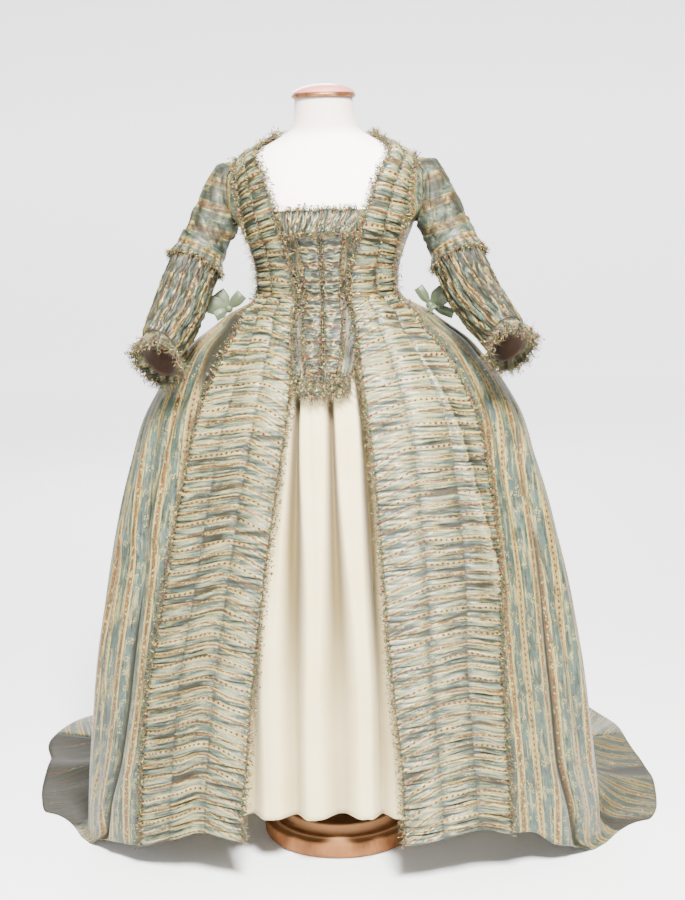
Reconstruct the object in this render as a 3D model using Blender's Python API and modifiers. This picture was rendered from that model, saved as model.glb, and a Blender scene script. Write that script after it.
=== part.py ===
"""A robe a la francaise of striped silk on a limbless dress form.

The open gown hangs from the shoulders over a plain pleated petticoat, with a ruched front,
elbow sleeves and a back that falls in two box pleats from the neckline to a short train.
Origin: the middle of the stand's underside, on the floor. The front faces -Y, units are metres.
Every cloth piece is a loft worked out from the section tables below, with its wall from Solidify.
"""
import math

import bmesh
import bpy
from mathutils import Matrix, Vector

# ------------------------------------------------------------------ driving sizes
SEAM = 0.0003            # gap at a seam between two cut pieces
GOWN_WALL = 0.0015       # silk on its backing
TRIM_WALL = 0.0012       # ruched self trimming
PETTICOAT_WALL = 0.0012
LINING_WALL = 0.0010
WAIST_Z = 1.060          # seam between bodice and skirts
NECK_TOP = 1.410         # top of the form's neck
POLE_RADIUS = 0.020
BASE_RADIUS = 0.151
BASE_HEIGHT = 0.034
STEP_RADIUS = 0.112
STEP_HEIGHT = 0.020
FORM_BOTTOM = 0.870
RIM_RADIUS = 0.0575      # gilt rim at the foot of the cap
RIM_HEIGHT = 0.007
CAP_RISE = 0.0185        # dome of the cap above its rim
TRAIN_TURN = 79          # from this turn on, the hem lies on the floor
NECK_FRILL_TURN = 23.5   # half the width of the neckline frill, in degrees of turn
POINT_FRILL_TURN = 9.6   # the same for the frill at the stomacher's foot
FRILL_STEPS = 26
SACK_STAND_OFF = 0.0034  # the sack back lies this far off the body
TRIM_GATHERS = 22        # ridges down a skirt trim and down a robing
ROBING_GATHERS = 15
CUFF_WAVE = 0.0030
SLEEVE_GATHER = 0.0012   # ridges of the lower sleeves, in and out
FRINGE_ROOT = 0.0022     # width of the strip that the tassels grow from
SHORT_TASSEL = 0.010
LONG_TASSEL = 0.014
FOOT_BEND = 0.060        # bend where the sides meet the floor
TRAIN_BEND = 0.240       # bend of the sweep into the train
TAIL_DROP = 0.070        # last stretch of a skirt wall, above its hem or the floor
TRAIN_DROP = 0.250       # the same where the wall sweeps out into the train


# ------------------------------------------------------------------ smooth tables
class Table:
    """Named columns of sizes, read smoothly at any key between the rows."""

    def __init__(self, names, *rows):
        self.names = names.split()
        self.rows = sorted(rows)
        self.keys = [row[0] for row in self.rows]
        self.slopes = {name: self._slopes(index) for index, name in enumerate(self.names)}

    def _slopes(self, index):
        """Slopes of a monotone cubic through one column."""
        values = [row[index] for row in self.rows]
        steps = [(values[i + 1] - values[i]) / (self.keys[i + 1] - self.keys[i])
                 for i in range(len(values) - 1)]
        inner = [2 * a * b / (a + b) if a * b > 0 else 0.0 for a, b in zip(steps, steps[1:])]
        return [steps[0]] + inner + [steps[-1]]

    def at(self, name, key):
        key = min(max(key, self.keys[0]), self.keys[-1])
        low = max(i for i in range(len(self.keys) - 1) if self.keys[i] <= key)
        column = self.names.index(name)
        width = self.keys[low + 1] - self.keys[low]
        s = (key - self.keys[low]) / width
        start, end = self.rows[low][column], self.rows[low + 1][column]
        out, into = self.slopes[name][low] * width, self.slopes[name][low + 1] * width
        return ((2 * s**3 - 3 * s**2 + 1) * start + (s**3 - 2 * s**2 + s) * out
                + (3 * s**2 - 2 * s**3) * end + (s**3 - s**2) * into)


# outside of the bodice: half width at the sides, front and back depth
BODY = Table(
    "z half front back",
    (1.060, .130, .116, .085), (1.100, .133, .123, .087), (1.145, .146, .132, .090),
    (1.180, .160, .138, .093), (1.215, .167, .130, .095), (1.250, .169, .113, .095),
    (1.280, .166, .095, .092), (1.300, .158, .081, .088), (1.320, .133, .070, .082),
    (1.340, .092, .061, .075), (1.360, .063, .054, .062), (1.385, .054, .052, .058),
    (1.410, .053, .052, .056))
# how far the form lies inside that surface
FORM_INSET = Table(
    "z inset drop", (1.060, .0088, .0), (1.150, .0080, .0), (1.230, .0060, .002), (1.280, .0030, .0028),
    (1.345, .0018, .0028), (1.385, .0, .0), (1.410, .0, .0))
FORM_HIPS = Table(
    "z half front back",
    (.870, .095, .075, .075), (.876, .112, .086, .088), (.900, .130, .097, .102),
    (.940, .136, .103, .104), (.990, .129, .105, .092), (1.030, .1212, .1072, .0762),
    (1.060, .1212, .1072, .0762))
# outside of the gown's skirts
SKIRT = Table(
    "z half front back",
    (.000, .500, .291, .585), (.060, .496, .288, .555), (.140, .489, .283, .522),
    (.240, .478, .275, .488), (.340, .466, .264, .458), (.440, .450, .252, .430),
    (.540, .432, .238, .402), (.640, .410, .222, .372), (.740, .383, .204, .336),
    (.820, .360, .187, .300), (.880, .328, .172, .265), (.930, .292, .158, .225),
    (.965, .262, .146, .192), (1.000, .215, .133, .150), (1.020, .188, .126, .130),
    (1.045, .142, .119, .100), (1.060, .130, .116, .085))
PETTICOAT = Table(
    "z half front back",
    (.105, .425, .215, .370), (.300, .410, .207, .350), (.500, .385, .195, .320),
    (.700, .350, .180, .270), (.820, .318, .165, .230), (.900, .272, .150, .190),
    (.950, .222, .136, .155), (.990, .170, .124, .118), (1.015, .140, .116, .096),
    (1.030, .1242, .1102, .0792))
# height of the gown's hem above the floor, by turn from the front, in degrees
HEM = Table(
    "turn z", (-74, .0), (-70, .010), (-65, .025), (-46, .046), (-36, .073), (-28, .096),
    (-18, .088), (16, .086), (28, .097), (33, .102), (41, .087), (48, .079), (56, .041),
    (62, .028), (70, .010), (74, .0))
# where the edge of the cloth lies, by turn
TRAIN_EDGE = Table(
    "turn x y",
    (-180, .000, .890), (-170, -.170, .878), (-158, -.360, .835), (-146, -.530, .755),
    (-134, -.650, .620), (-124, -.715, .450), (-115, -.680, .330), (-106, -.664, .213),
    (-98, -.643, .125), (-90, -.608, .052), (90, .600, .050), (98, .630, .125), (106, .636, .220),
    (115, .628, .340), (124, .605, .470), (134, .575, .620), (146, .500, .745),
    (158, .350, .835), (170, .170, .878), (180, .000, .890))
# how far the hem kicks out beside the front corners, by turn
HEM_KICK = Table("turn out", (58, .0), (68, .006), (74, .012), (84, .030), (90, .040))
# edges of the pieces across the front of the skirt, in degrees of turn
LEFT_EDGES = Table(
    "z opening trim seam",
    (.000, 18.8, 45.8, 63), (.090, 18.8, 45.8, 61), (.200, 17.7, 45.8, 56), (.350, 16.6, 45.2, 53.5),
    (.530, 14.8, 42.5, 53), (.700, 12.6, 41.3, 57), (.880, 10.4, 40.3, 62), (.965, 12.5, 41, 70),
    (1.000, 15, 45, 74), (1.030, 18, 56, 78), (1.060, 21.5, 68, 80))
RIGHT_EDGES = Table(
    "z opening trim seam",
    (.000, 16.3, 41.3, 65), (.090, 16.3, 41.3, 63), (.200, 16.4, 41.5, 59.5), (.350, 15.2, 42, 60),
    (.530, 14.4, 45.5, 63), (.700, 14.1, 48.5, 67), (.880, 13.4, 50.2, 78), (.965, 14.5, 50, 82),
    (1.000, 16, 52, 84), (1.030, 19, 60, 86), (1.060, 21.5, 68, 88))
# free folds of the skirts: middle turn, half width in degrees, depth, height where each starts
FOLDS = (
    (-79, 5, .008, .70), (-90, 4, -.012, .75), (-101, 5, .010, .80), (-112, 4, -.012, .80),
    (-120, 4, .010, .75), (-135, 5, .014, .80), (-148, 6, -.012, .80), (-162, 6, .014, .85),
    (82, 5, .010, .80), (92, 4, -.012, .80), (103, 5, .010, .75), (112, 4, -.012, .80),
    (120, 4, .010, .75), (136, 5, .014, .80), (149, 6, -.012, .80), (163, 6, .014, .85),
    (180, 7, .012, .85), (-180, 7, .012, .85))
# path of the bodice front's two edges: share of the length, then turn and height of each
FRONT_PATH = Table(
    "share inner_turn inner_z outer_turn outer_z",
    (.00, 23.0, 1.0603, 95.0, 1.0603), (.16, 24.5, 1.105, 95.0, 1.100),
    (.32, 27.5, 1.160, 95.0, 1.145), (.48, 31.0, 1.210, 94.0, 1.178), (.60, 35.0, 1.243, 84.0, 1.203),
    (.72, 41.5, 1.277, 78.0, 1.235), (.85, 57.5, 1.311, 79.0, 1.268), (.93, 74.5, 1.328, 83.0, 1.286),
    (1.0, 88.7, 1.3365, 88.7, 1.2965))
ROBING_PATH = Table(
    "share inner_turn inner_z outer_turn outer_z",
    (.00, 21.5, 1.0605, 69.0, 1.0605), (.12, 23.5, 1.105, 65.0, 1.100), (.24, 26.3, 1.160, 62.0, 1.143),
    (.36, 29.5, 1.210, 60.0, 1.186), (.46, 33.5, 1.245, 62.5, 1.222), (.56, 40.0, 1.280, 66.0, 1.252),
    (.67, 56.0, 1.314, 72.0, 1.281), (.75, 74.0, 1.331, 80.0, 1.295), (.82, 90.0, 1.340, 91.0, 1.302),
    (1.0, 137.0, 1.336, 132.0, 1.300))
BACK_PATH = Table(
    "share inner_turn inner_z outer_turn outer_z",
    (.00, 141, 1.0603, 95.5, 1.0603), (.25, 141, 1.120, 95.5, 1.110), (.45, 141, 1.200, 96.5, 1.178),
    (.60, 141, 1.262, 112, 1.205), (.74, 139, 1.303, 117, 1.240), (.88, 122, 1.330, 109, 1.283),
    (1.0, 89.3, 1.3365, 89.3, 1.2965))
# sleeves: ring centre, how far the axis dips and leans forward, radius across and in depth
UPPER_SLEEVE = Table(
    "share x y z dip lean across depth",
    (.00, .1640, .010, 1.2400, 6, .00, .0560, .0400), (.16, .1815, .009, 1.2430, 16, .02, .0605, .0440),
    (.38, .1960, .005, 1.2165, 30, .08, .0530, .0460), (.60, .2120, -.002, 1.1860, 43, .15, .0470, .0450),
    (.80, .2230, -.009, 1.1625, 52, .22, .0445, .0445), (1.0, .2340, -.016, 1.1405, 60, .30, .0437, .0440))
LEFT_LOWER = Table(
    "share x y z dip lean across depth",
    (.00, .2370, -.021, 1.1320, 66, .33, .0430, .0435), (.30, .2560, -.062, 1.0750, 71, .55, .0450, .0460),
    (.60, .2680, -.105, 1.0270, 73, .75, .0440, .0490), (.85, .2820, -.140, .9880, 74, .95, .0380, .0540),
    (1.0, .2890, -.158, .9660, 75, 1.10, .0330, .0570))
RIGHT_LOWER = Table(
    "share x y z dip lean across depth",
    (.00, .2370, -.021, 1.1320, 66, .33, .0430, .0435), (.30, .2600, -.062, 1.0750, 67, .55, .0450, .0460),
    (.60, .2850, -.105, 1.0330, 65, .75, .0430, .0480), (.85, .3120, -.140, 1.0010, 62, .90, .0370, .0500),
    (1.0, .3270, -.158, .9810, 60, 1.00, .0330, .0520))


# ------------------------------------------------------------------ surfaces
def on_section(table, turn, z, out=0.0):
    """Point of an elliptical section at a turn from the front, moved out along its normal."""
    angle = math.radians(turn)
    half = table.at("half", z)
    deep = table.at("front" if math.cos(angle) > 0 else "back", z)
    normal = Vector((deep * math.sin(angle), -half * math.cos(angle), 0)).normalized()
    return Vector((half * math.sin(angle), -deep * math.cos(angle), z)) + normal * out


def bump(distance, width):
    """1 at no distance, falling off like a bell."""
    return math.exp(-(distance / width) ** 2)


def fade(z, start, full):
    """0 above start, 1 below full."""
    s = min(max((start - z) / (start - full), 0.0), 1.0)
    return s * s * (3 - 2 * s)


def signed_turn(turn):
    """A turn between 0 and 360 degrees as one between -180 and 180."""
    return turn - 360 if turn > 180 else turn


def edges_of(turn):
    return LEFT_EDGES if turn < 0 else RIGHT_EDGES


def fold_depth(turn, z):
    """How far the folds move the skirt wall out at a turn and height."""
    seam = edges_of(turn).at("seam", z)
    depth = 0.0
    for middle, width, deep, start in FOLDS:
        depth += deep * bump(turn - middle, width) * fade(z, start, start - .35)
    if abs(turn) < 120:
        depth -= .016 * bump(abs(turn) - seam - 2.6, 2.6) * fade(z, .90, .70)
        depth += .006 * bump(abs(turn) - seam + 4.0, 3.0) * fade(z, .90, .70)
    return depth


def hem_height(turn):
    return HEM.at("z", turn) if abs(turn) < 74 else 0.0


def skirt_wall(turn, z):
    return on_section(SKIRT, turn, z, fold_depth(turn, z))


def train_share(turn):
    """0 at the front and sides, 1 where the cloth sweeps into the train."""
    return 1 - fade(abs(turn), 116, 92)


def tail_drop(turn):
    return blend(TAIL_DROP, TRAIN_DROP, train_share(turn))


def skirt_tail(turn, rows):
    """The last stretch of a skirt: down to its hem, or bent onto the floor and out to its edge."""
    hem = hem_height(turn)
    floor = max(hem, GOWN_WALL)
    top = skirt_wall(turn, hem + tail_drop(turn))
    foot = skirt_wall(turn, floor)
    kick = on_section(SKIRT, turn, floor, HEM_KICK.at("out", abs(turn)) + .0005)
    train = Vector((TRAIN_EDGE.at("x", turn), TRAIN_EDGE.at("y", turn), floor))
    onto = 1 - fade(abs(turn), TRAIN_TURN + 12, TRAIN_TURN)
    edge = kick.lerp(train, onto) if abs(turn) > TRAIN_TURN else kick
    drop = (foot - top).length
    run = (edge - foot).length
    whole = drop + run
    long_share = run / (run + .03)
    even = [whole * (i + 1) / rows for i in range(rows)]
    bent = [drop * .45, drop * .85, drop + run * .10, drop + run * .45] + [
        drop + run * (.45 + .55 * (i + 1) / (rows - 4)) for i in range(rows - 4)]
    bend = blend(FOOT_BEND, TRAIN_BEND, train_share(turn))
    radius = min(bend, run * .85, drop * .95)
    points = []
    for short, stretched in zip(even, bent):
        s = short * (1 - long_share) + stretched * long_share
        point = rounded_corner(top, foot, edge, drop, run, radius, s)
        share = max(0.0, s - drop * .6) / (run + drop * .4)
        rise = train_ridge(turn) * math.sin(math.pi * min(share * .85, 1.0))
        points.append(point + Vector((0, 0, rise)))
    return points


# soft ridges of the train where it lies on the floor: turn, half width, height
TRAIN_RIDGES = ((-112, 4, .020), (-130, 5, .026), (-150, 6, .022), (-168, 5, .018), (108, 4, .018),
                (128, 5, .024), (146, 5, .022), (170, 6, .020))


def train_ridge(turn):
    return sum(high * bump(turn - middle, width) for middle, width, high in TRAIN_RIDGES)


def rounded_corner(top, foot, edge, drop, run, radius, s):
    """Point at length s along top-foot-edge, with the corner at the foot rounded off."""
    down = (foot - top) / drop
    if run < 1e-6:
        return top + down * s
    out = (edge - foot) / run
    if radius < 1e-6 or s <= drop - radius:
        return top + down * s if s <= drop else foot + out * (s - drop)
    if s >= drop + radius:
        return foot + out * (s - drop)
    t = (s - drop + radius) / (2 * radius)
    return (foot - down * radius) * (1 - t) ** 2 + foot * (2 * t * (1 - t)) + (foot + out * radius) * t ** 2


# heights of a panel's rows as shares of its wall, close at the hips where it bends most
WALL_SHARES = (0, .018, .045, .078, .125, .19, .28, .42, .60, .80, 1.0)
TAIL_ROWS = 5


def skirt_column(turn_at, shares=WALL_SHARES, top=WAIST_Z - SEAM, tail=TAIL_ROWS):
    """One vertical line of a skirt panel. turn_at gives the turn at a height."""
    hem = hem_height(turn_at(0.05))
    low = hem + tail_drop(turn_at(0.05))
    column = []
    for share in shares:
        z = top + (low - top) * share
        column.append(skirt_wall(turn_at(z), z))
    return column + skirt_tail(turn_at(low), tail)


# ------------------------------------------------------------------ grids of points
class Grid:
    """Rows of points from top to bottom, with turn increasing along each row."""

    def __init__(self, rows, closed=False):
        self.rows = rows
        self.closed = closed

    def normals(self):
        high, wide = len(self.rows), len(self.rows[0])
        result = []
        for i, row in enumerate(self.rows):
            line = []
            for j in range(wide):
                if self.closed:
                    left, right = row[(j - 1) % wide], row[(j + 1) % wide]
                else:
                    left, right = row[max(j - 1, 0)], row[min(j + 1, wide - 1)]
                up, down = self.rows[max(i - 1, 0)][j], self.rows[min(i + 1, high - 1)][j]
                line.append((down - up).cross(right - left).normalized())
            result.append(line)
        return result

    def lifted(self, height):
        """Every point moved out; height is a number or a function of row and column."""
        measure = height if callable(height) else (lambda i, j: height)
        normals = self.normals()
        return Grid([[p + normals[i][j] * measure(i, j) for j, p in enumerate(row)]
                     for i, row in enumerate(self.rows)], self.closed)

    def finer(self, count):
        """Each stretch between two rows divided evenly, so that the facets stay the same."""
        rows = []
        for above, below in zip(self.rows, self.rows[1:]):
            for k in range(count):
                rows.append([a.lerp(b, k / count) for a, b in zip(above, below)])
        return Grid(rows + [self.rows[-1]], self.closed)

    def part(self, first, last):
        return Grid([row[first:last + 1] for row in self.rows])

    def mirrored(self):
        return Grid([[Vector((-p.x, p.y, p.z)) for p in reversed(row)] for row in self.rows],
                    self.closed)


def path_grid(table, surface, shares, columns, out=0.0):
    """A loft across a surface between the two edges that a path table gives."""
    rows = []
    for share in shares:
        row = []
        for column in columns:
            turn = blend(table.at("inner_turn", share), table.at("outer_turn", share), column)
            z = blend(table.at("inner_z", share), table.at("outer_z", share), column)
            row.append(on_section(surface, turn, z, out))
        rows.append(row)
    return Grid(list(reversed(rows)))


def blend(a, b, share):
    return a + (b - a) * share


def steps(count):
    return [i / count for i in range(count + 1)]


# ------------------------------------------------------------------ objects and materials
def clear_scene():
    for item in list(bpy.data.objects):
        bpy.data.objects.remove(item, do_unlink=True)


def new_collection(name, hidden=False):
    collection = bpy.data.collections.new(name)
    bpy.context.scene.collection.children.link(collection)
    collection.hide_render = hidden
    return collection


def finish(name, colour, roughness, metallic=0.0):
    material = bpy.data.materials.new(name)
    material.use_nodes = True
    shader = material.node_tree.nodes["Principled BSDF"]
    shader.inputs["Base Color"].default_value = (*colour, 1.0)
    shader.inputs["Roughness"].default_value = roughness
    shader.inputs["Metallic"].default_value = metallic
    material.diffuse_color = (*colour, 1.0)
    return material


def add_mesh(name, work, material):
    mesh = bpy.data.meshes.new(name)
    work.to_mesh(mesh)
    work.free()
    mesh.materials.append(material)
    item = bpy.data.objects.new(name, mesh)
    GOWN.objects.link(item)
    return item


def grid_faces(work, grid):
    """Two triangles for each cell, split along its shorter diagonal."""
    verts = [[work.verts.new(p) for p in row] for row in grid.rows]
    wide = len(grid.rows[0])
    cells = wide if grid.closed else wide - 1
    for i in range(len(verts) - 1):
        for j in range(cells):
            a, b = verts[i][j], verts[i + 1][j]
            c, d = verts[i + 1][(j + 1) % wide], verts[i][(j + 1) % wide]
            if (a.co - c.co).length <= (b.co - d.co).length:
                work.faces.new((a, b, c))
                work.faces.new((a, c, d))
            else:
                work.faces.new((a, b, d))
                work.faces.new((b, c, d))


def cloth(name, grid, material, wall=GOWN_WALL, outward=False):
    """A cloth piece: an open sheet of the grid's points with a wall of even thickness."""
    work = bmesh.new()
    grid_faces(work, grid)
    item = add_mesh(name, work, material)
    shell = item.modifiers.new("wall", "SOLIDIFY")
    shell.thickness = wall
    shell.offset = 1.0 if outward else -1.0
    return item


def turned(name, profile, material, steps_round=48):
    """A turned piece from (radius, height) pairs down its outer side, closed on the axis."""
    mesh = bpy.data.meshes.new(name)
    points = [(radius, 0, z) for radius, z in profile]
    mesh.from_pydata(points, [(i, i + 1) for i in range(len(points) - 1)], [])
    mesh.materials.append(material)
    item = bpy.data.objects.new(name, mesh)
    GOWN.objects.link(item)
    screw = item.modifiers.new("turn", "SCREW")
    screw.angle = math.tau
    screw.steps = steps_round
    screw.render_steps = steps_round
    screw.use_merge_vertices = True
    screw.merge_threshold = 0.00005
    return item


# ------------------------------------------------------------------ stand and form
def make_stand():
    edge = .006
    turned("stand_base", [
        (0, BASE_HEIGHT + STEP_HEIGHT), (STEP_RADIUS - edge, BASE_HEIGHT + STEP_HEIGHT),
        (STEP_RADIUS, BASE_HEIGHT + STEP_HEIGHT - edge), (STEP_RADIUS, BASE_HEIGHT),
        (BASE_RADIUS - .012, BASE_HEIGHT), (BASE_RADIUS - .003, BASE_HEIGHT - .004),
        (BASE_RADIUS, BASE_HEIGHT - .012), (BASE_RADIUS, .010), (BASE_RADIUS - .006, 0), (0, 0)],
        WOOD, 32)
    top = FORM_BOTTOM - SEAM
    foot = BASE_HEIGHT + STEP_HEIGHT + SEAM
    turned("stand_pole", [(0, top), (POLE_RADIUS, top), (POLE_RADIUS, foot), (0, foot)], STEEL, 20)


FORM_TURNS = 30


def form_ring(z, out=0.0):
    row = []
    for k in range(FORM_TURNS):
        turn = signed_turn(360 * k / FORM_TURNS)
        if z < WAIST_Z:
            row.append(on_section(FORM_HIPS, turn, z, out))
        else:
            inset, drop = FORM_INSET.at("inset", z), FORM_INSET.at("drop", z)
            point = on_section(BODY, turn, z + drop, out - inset)
            row.append(Vector((point.x, point.y, z)))
    return row


def make_form():
    levels = (NECK_TOP, 1.376, 1.356, 1.342, 1.328, 1.312, 1.290, 1.250, 1.205, 1.150, 1.100,
              1.060, 1.030, .960, .870)
    work = bmesh.new()
    rows = [form_ring(z) for z in levels]
    grid_faces(work, Grid(rows, closed=True))
    work.verts.ensure_lookup_table()
    count = FORM_TURNS
    work.faces.new([work.verts[k] for k in range(count)])
    last = (len(levels) - 1) * count
    work.faces.new([work.verts[last + k] for k in reversed(range(count))])
    add_mesh("form_torso", work, JERSEY)


def make_cap():
    """The gilt rim on the neck and the domed cap above it."""
    rim, low = RIM_RADIUS, NECK_TOP + SEAM
    high = low + RIM_HEIGHT
    turned("neck_cap_rim", [(0, high), (rim, high), (rim + .001, low + RIM_HEIGHT / 2), (rim, low),
                            (0, low)], GILT, 28)
    base = high + SEAM
    dome = [(rim * math.sin(a), base + CAP_RISE * math.cos(a) ** 1.2) for a in
            [math.radians(d) for d in (0, 25, 48, 66, 80)]]
    turned("neck_cap", dome + [(rim - .0005, base + .0008), (rim - .0015, base), (0, base)], CAP, 28)


# ------------------------------------------------------------------ petticoat
# where each box pleat starts, in degrees of turn: close at the front, wider round the back
PLEAT_STARTS = (-180, -148, -116, -86, -60, -46, -34, -22.5, -11, .5, 12.5, 24, 36, 48, 62, 88,
                118, 150)
PLEAT_LEVELS = (1.0300, 1.012, .970, .900, .790, .600, .360, .105)


def petticoat_row(z):
    """One level of the petticoat: a valley, then the two edges of a flat pleat, all the way round."""
    grow = fade(z, 1.015, .88)
    row = []
    for index, start in enumerate(PLEAT_STARTS):
        width = (PLEAT_STARTS[(index + 1) % len(PLEAT_STARTS)] - start) % 360
        for place, raised in ((0, 0), (.22, 1), (.80, 1)):
            turn = signed_turn(start + width * place + 1.4 * math.sin(index * 2.3) * fade(z, .9, .3))
            deep = .003 * fade(z, 1.030, 1.010) + (.013 if width < 13 else .020) * grow
            sag = .003 * math.sin(index * 1.7 + place) * grow
            hem = z + (.006 * (1 - raised) + .003 * math.sin(index * 2.9)) * fade(z, .3, .105)
            point = on_section(PETTICOAT, turn, z, sag if raised else -deep)
            row.append(Vector((point.x, point.y, hem)))
    return row


def make_petticoat():
    band = Grid([form_ring(1.0540, .0004), form_ring(1.0308, .0004)], closed=True)
    cloth("petticoat_waistband", band, LINEN, .0014, outward=True)
    rows = [petticoat_row(z) for z in PLEAT_LEVELS]
    cloth("petticoat", Grid(rows, closed=True), LINEN, PETTICOAT_WALL)


# ------------------------------------------------------------------ ruching
def ruche(grid, gathers, height, valley):
    """Ridges across a strip, staggered between its gathering lines."""
    high = len(grid.rows)
    wide = len(grid.rows[0])

    def lift(i, j):
        phase = math.pi * (i * gathers / (high - 1) + j) + .9 * math.sin(1.7 * j)
        uneven = .75 + .25 * math.sin(2.1 * i + 1.3 * j)
        edge = 0 < j < wide - 1
        inner = min(i, high - 1 - i, 3) / 3
        base = valley if edge and inner else min(valley, .0012)
        ridge = .5 - .5 * math.cos(phase * 2)
        return base + height * uneven * ridge * inner * (1 if edge else .45)

    return grid.lifted(lift)


# ------------------------------------------------------------------ bodice
def bodice_front():
    columns = [0, .18, .37, .56, .78, 1.0]
    return path_grid(FRONT_PATH, BODY, steps(12), columns)


def make_bodice():
    front = bodice_front()
    back = path_grid(BACK_PATH, BODY, steps(11), [1, .8, .6, .4, .2, 0])
    robing = path_grid(ROBING_PATH, BODY, steps(30), [0, .33, .67, 1.0], .0007)
    for side in ("right", "left"):
        over = (lambda grid: grid) if side == "right" else Grid.mirrored
        cloth("bodice_front_" + side, over(front), SILK)
        cloth("bodice_back_" + side, over(back), SILK)
        gathered = ruche(over(robing), ROBING_GATHERS, .0045, .0012)
        cloth("robing_" + side, gathered, TRIM, TRIM_WALL, outward=True)


def stomacher_point(turn, z, out):
    table = BODY if z >= WAIST_Z else SKIRT
    return on_section(table, turn, z, out)


STOMACHER_HALF = Table(
    "z turn", (.900, 9.5), (.923, 10.5), (.960, 14), (1.000, 19), (1.060, 27), (1.110, 29),
    (1.160, 32), (1.212, 35.5))
STOMACHER_LEVELS = (1.210, 1.185, 1.163, 1.141, 1.119, 1.097, 1.078, 1.0597, 1.0436, 1.0194, .9899,
                    .9690, .9479, .923)
STOMACHER_STRIPS = (.0, .10, .34, .42, .70, 1.0)


def make_stomacher():
    """Two halves that meet at the middle, each with a ruched band beside the slit."""
    slit = .10
    rows = []
    for z in STOMACHER_LEVELS:
        wide = STOMACHER_HALF.at("turn", z)
        inset = .0034 + .0014 * fade(z, 1.075, 1.055)
        rows.append([stomacher_point(blend(slit, wide, share), z, -inset) for share in STOMACHER_STRIPS])
    right = Grid(rows)
    last = len(STOMACHER_STRIPS) - 1
    for side in ("right", "left"):
        def lift(i, j):
            strip = j if side == "right" else last - j
            if strip not in (1, 2) or i < 2:
                return 0.0
            return .0028 + .0020 * (1 if (i + strip) % 2 else -1)

        grid = right if side == "right" else right.mirrored()
        cloth("stomacher_" + side, grid.lifted(lift), TRIM)


def frill(name, rows, outs, wave, rise):
    """A gathered frill over three rows of points: stitched at the first, waving at the others."""
    for k, out in enumerate(outs):
        swing = (1 if k % 2 else -1) * (1 + .25 * math.sin(1.9 * k))
        rows[1][k] = rows[1][k] + out * (wave * (1 + swing) * .4 + rise * .6)
        rows[2][k] = rows[2][k] + out * (wave * (1 + swing) * .8 + rise)
    cloth(name, Grid(rows), TRIM, TRIM_WALL, outward=True)


def make_frills():
    shares = [2 * share - 1 for share in steps(FRILL_STEPS)]
    outs = [out_at(NECK_FRILL_TURN * share) for share in shares]
    neck = [[stomacher_point(NECK_FRILL_TURN * share, z + .0015 * math.sin(9 * share), -.0026)
             for share in shares] for z in (1.2095, 1.190, 1.171)]
    frill("neckline_frill", neck, outs, .0018, .0030)
    outs = [out_at(POINT_FRILL_TURN * share) for share in shares]
    point = []
    for drop in (0, .020, .038):
        point.append([on_section(SKIRT, POINT_FRILL_TURN * share,
                                 .9224 - drop * (1.25 - .5 * share * share), -.0044)
                      for share in shares])
    frill("stomacher_frill", point, outs, .0026, .0030)


def out_at(turn):
    angle = math.radians(turn)
    return Vector((math.sin(angle), -math.cos(angle), 0))


# ------------------------------------------------------------------ skirts
TRIM_COLUMNS = (0, .34, .67, 1.0)
SIDE_BACK_TURN = Table("z turn", (.000, 126), (.880, 128), (1.000, 136), (1.060, 139))


def seam_turn(z):
    """Half of a seam's gap as a turn, in degrees."""
    return math.degrees(SEAM * (1.1 + 1.5 * fade(z, .30, .10)) / SKIRT.at("front", z))


def front_skirt(sign):
    edges = RIGHT_EDGES if sign > 0 else LEFT_EDGES
    columns = []
    for share in TRIM_COLUMNS:
        columns.append(skirt_column(
            lambda z, s=share: sign * blend(edges.at("opening", z), edges.at("trim", z), s)))
    for share in (.30, .62, .85, 1.0):
        columns.append(skirt_column(lambda z, s=share: sign * blend(
            edges.at("trim", z), edges.at("seam", z) - seam_turn(z), s)))
    return columns


def side_skirt(sign):
    edges = RIGHT_EDGES if sign > 0 else LEFT_EDGES
    columns = []
    for share in (0, .05, .12, .22, .34, .46, .58, .70, .84, 1.0):
        columns.append(skirt_column(lambda z, s=share: sign * blend(
            edges.at("seam", z) + seam_turn(z), SIDE_BACK_TURN.at("turn", z) - seam_turn(z), s)))
    return columns


def grid_from_columns(columns, sign):
    ordered = columns if sign > 0 else list(reversed(columns))
    return Grid([list(row) for row in zip(*ordered)])


def make_skirts():
    for sign, side in ((1, "right"), (-1, "left")):
        front = grid_from_columns(front_skirt(sign), sign)
        cloth("skirt_front_" + side, front, SILK)
        skirt_fringe(front, side)
        cloth("skirt_side_" + side, grid_from_columns(side_skirt(sign), sign), SILK)
        across = len(TRIM_COLUMNS) - 1
        strip = front.part(0, across) if sign > 0 else front.part(len(front.rows[0]) - 1 - across,
                                                                  len(front.rows[0]) - 1)
        fine = Grid(strip.finer(3).rows[1:])
        cloth("skirt_trim_" + side, ruche(fine, TRIM_GATHERS, .0055, .0016), TRIM, TRIM_WALL, outward=True)


# ------------------------------------------------------------------ sack back and train
SACK_LEVELS = (1.326, 1.300, 1.255, 1.200, 1.140, 1.080)
SACK_BULGE = Table("z bulge", (.700, .0), (.880, .020), (.965, .052), (1.060, .078), (1.160, .050),
                   (1.250, .020), (1.326, .0))
PLEAT_MARKS = (-1.0, -.80, -.72, -.46, -.20, -.12, .12, .20, .46, .72, .80, 1.0)


def pleat_height(mark, z):
    """Two stacked box pleats, crisp at the neck and soft lower down."""
    raised = 1.0 if .15 < abs(mark) < .77 else 0.0
    return raised * blend(.007, .016, fade(z, 1.30, .90)) * (1 - fade(z, .55, .10))


def sack_turn(mark, z):
    edge = SIDE_BACK_TURN.at("turn", z)
    return signed_turn(180 - mark * (180 - edge))


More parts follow.
